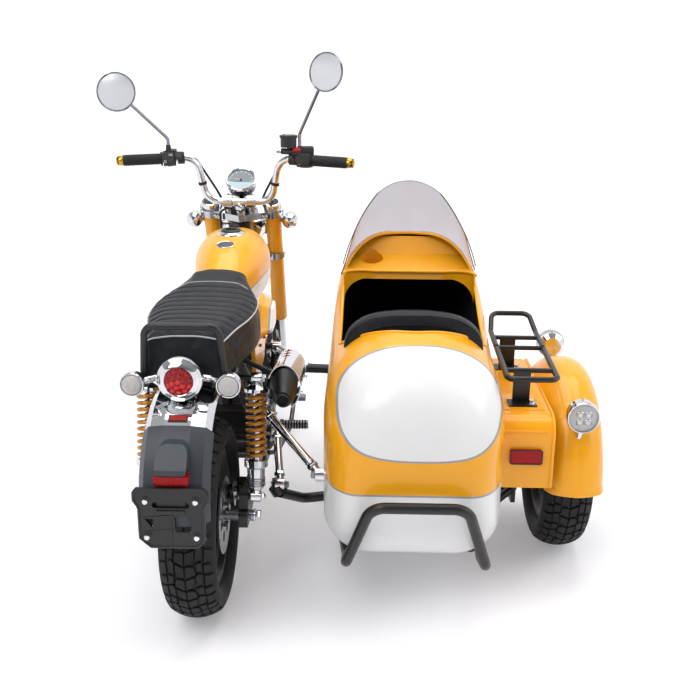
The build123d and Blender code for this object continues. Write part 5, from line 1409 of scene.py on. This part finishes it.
def fender_trims():
    """The deck's bead and pressed step, its reflector's frame, rolled lips, lamps and the rack's bolts."""
    kit = Kit("fender_trims", "chassis")
    kit.tube(deck_line(866), 4.6, YELLOW, 12)
    fender_lips(kit)
    kit.tube([at(726, 92.5, 452), at(850, 92.5, 452)], 3.2, YELLOW, 10)
    step = [at(x, y, 484.6) for x, y in ((735, 152), (852, 152), (852, 560), (735, 560))]
    kit.slab(step, move(0, 0, 3.4), YELLOW, 0.0016)
    corners = ((760.5, 371), (764, 368.5), (836, 368.5), (839.5, 371),
               (839.5, 403), (836, 405.5), (764, 405.5), (760.5, 403))
    kit.tube([at(x, 81.5, z) for x, z in corners], 1.7, BLACK, 8, True)
    for lamp in FENDER_LAMPS:
        fender_lamp(kit, *lamp)
    for y in (187, 472):
        kit.bolt(at(822, y, 491), UP, 14, CHROME)
        kit.turn(at(822, y, 490.9), UP, [(13, 0), (13, 1.6), (11.5, 2.2)], CHROME, 28)
    for x in (755, 881):
        kit.turn(at(x, 405, 570), UP, [(6, 5), (6, 9), (4, 10)], BLACK, 16)
    kit.make()
    # The lamps' recessed faces behind the cells take near black as painted shade
    second_finish(nodes["fender_lamps"], "liner_and_painted_shade", lamp_face)


screen_trims()
cockpit_trims()
fender_trims()


# Studio
FLAT_RADIUS, CURVE, WALL, WALL_RISE = 5.5, 2.2, 3.2, 5.8  # metres


def studio_floor():
    """A pale round paper floor that curves up into a wall, higher in front of the vehicle."""
    bm = bmesh.new()
    profile = [(0.01, 0.0), (3.0, 0.0), (FLAT_RADIUS, 0.0)]
    for step in range(1, 10):
        a = math.radians(10 * step)
        profile.append((FLAT_RADIUS + CURVE * math.sin(a), CURVE - CURVE * math.cos(a)))
    grid = []
    for step in range(72):
        across, ahead = math.cos(math.tau * step / 72), math.sin(math.tau * step / 72)
        edge = (FLAT_RADIUS + CURVE, WALL + WALL_RISE * max(0.0, ahead))
        grid.append([bm.verts.new((radius * across, radius * ahead, z)) for radius, z in profile + [edge]])
    for here, there in zip(grid, grid[1:] + grid[:1]):
        for i in range(len(here) - 1):
            bm.faces.new((here[i], here[i + 1], there[i + 1], there[i]))
    bm.faces.new([ring[0] for ring in grid])
    mesh = bpy.data.meshes.new("studio_floor")
    bm.to_mesh(mesh)
    bm.free()
    floor = bpy.data.objects.new("studio_floor", mesh)
    bpy.context.scene.collection.objects.link(floor)
    floor.data.materials.append(studio_paper())
    for face in floor.data.polygons:
        face.use_smooth = True


def studio_paper():
    """Uncoated paper roll: flat white, which brightens with distance for what sees it, not for the object."""
    paper = {"Roughness": 0.9, "Specular IOR Level": 0.1, "Emission Color": colour("#FDFCFE")}
    made, tree, shader, place = start_material("studio_paper", **paper)
    tinted(tree, shader, grain(tree, place, 400, 2), ("#FBFAFC", "#F7F6F9"))
    rays = shade(tree, "LightPath").outputs
    mirrored = calc(tree, "MAXIMUM", rays["Is Glossy Ray"], rays["Is Transmission Ray"])
    seen = calc(tree, "MAXIMUM", rays["Is Camera Ray"], mirrored)
    spot = shade(tree, "SeparateXYZ", {"Vector": place})
    sideways = calc(tree, "MULTIPLY", calc(tree, "ABSOLUTE", spot.outputs[0]), 0.8)
    away = calc(tree, "MAXIMUM", spot.outputs[1], sideways)
    ramp = {"Value": away, "From Min": 1.0, "From Max": 3.6, "To Min": 0.24, "To Max": 0.66}
    glow = shade(tree, "MapRange", ramp)
    tree.links.new(calc(tree, "MULTIPLY", seen, glow.outputs[0]), shader.inputs["Emission Strength"])
    return made


SKY = [
    # height, colour
    (0.0, [0.55, 0.55, 0.57, 1]), (0.1, [0.16, 0.16, 0.17, 1]), (0.24, [0.9, 0.9, 0.92, 1]),
    (0.5, [0.6, 0.61, 0.64, 1]), (1.0, [1.0, 1.0, 1.0, 1]),
]
SOFTBOXES = [
    # name, place, size in metres, watts
    ("key", (-1.6, -2.4, 3.4), 2.4, 68),
    ("fill", (3.2, -0.6, 2.6), 2.2, 38),
    ("top", (0.2, 0.6, 3.8), 3.0, 78),
]


def studio_light():
    """A soft sky with a dark band that chrome shows as its line, dimmer in front, and three softboxes."""
    world = bpy.data.worlds.new("studio_sky")
    bpy.context.scene.world = world
    world.use_nodes = True
    tree = world.node_tree
    tree.nodes.clear()
    way = shade(tree, "SeparateXYZ", {"Vector": shade(tree, "TexCoord").outputs["Generated"]})
    sky = shade(tree, "ValToRGB", {"Fac": way.outputs[2]}, stops=SKY)
    ahead = {"Value": way.outputs[1], "From Min": -1.0, "From Max": -0.05, "To Min": 0.2, "To Max": 0.62}
    dim = shade(tree, "MapRange", ahead)
    back = shade(tree, "Background", {"Color": sky.outputs[0], "Strength": dim.outputs[0]})
    shade(tree, "OutputWorld", {"Surface": back.outputs[0]})
    for name, place, size, power in SOFTBOXES:
        light = bpy.data.lights.new(name, "AREA")
        light.energy = power
        light.size = size
        holder = bpy.data.objects.new(name, light)
        holder.location = place
        holder.rotation_mode = "QUATERNION"
        holder.rotation_quaternion = (Vector((0, 0, 0.4)) - Vector(place)).to_track_quat("-Z", "Y")
        bpy.context.scene.collection.objects.link(holder)


CAMERA_PLACE = at(403.4, -2127.1, 1376.1)
CAMERA_ANGLES = (-1.159, 17.937, 0.513)  # yaw, pitch and roll in degrees
LENS_MM = 49.559


def camera():
    """The camera at the photograph's place and angle."""
    yaw, pitch, roll = (math.radians(v) for v in CAMERA_ANGLES)
    ahead = Vector((math.sin(yaw) * math.cos(pitch), math.cos(yaw) * math.cos(pitch), -math.sin(pitch)))
    right = Vector((math.cos(yaw), -math.sin(yaw), 0))
    up = right.cross(ahead)
    across = right * math.cos(roll) + up * math.sin(roll)
    upward = up * math.cos(roll) - right * math.sin(roll)
    data = bpy.data.cameras.new("camera")
    data.lens = LENS_MM
    data.sensor_width = 36
    holder = bpy.data.objects.new("camera", data)
    turn = Matrix((across, upward, -ahead)).transposed().to_4x4()
    holder.matrix_world = Matrix.Translation(CAMERA_PLACE) @ turn
    bpy.context.scene.collection.objects.link(holder)
    bpy.context.scene.camera = holder
    bpy.context.scene.view_settings.view_transform = "Standard"


studio_floor()
studio_light()
camera()
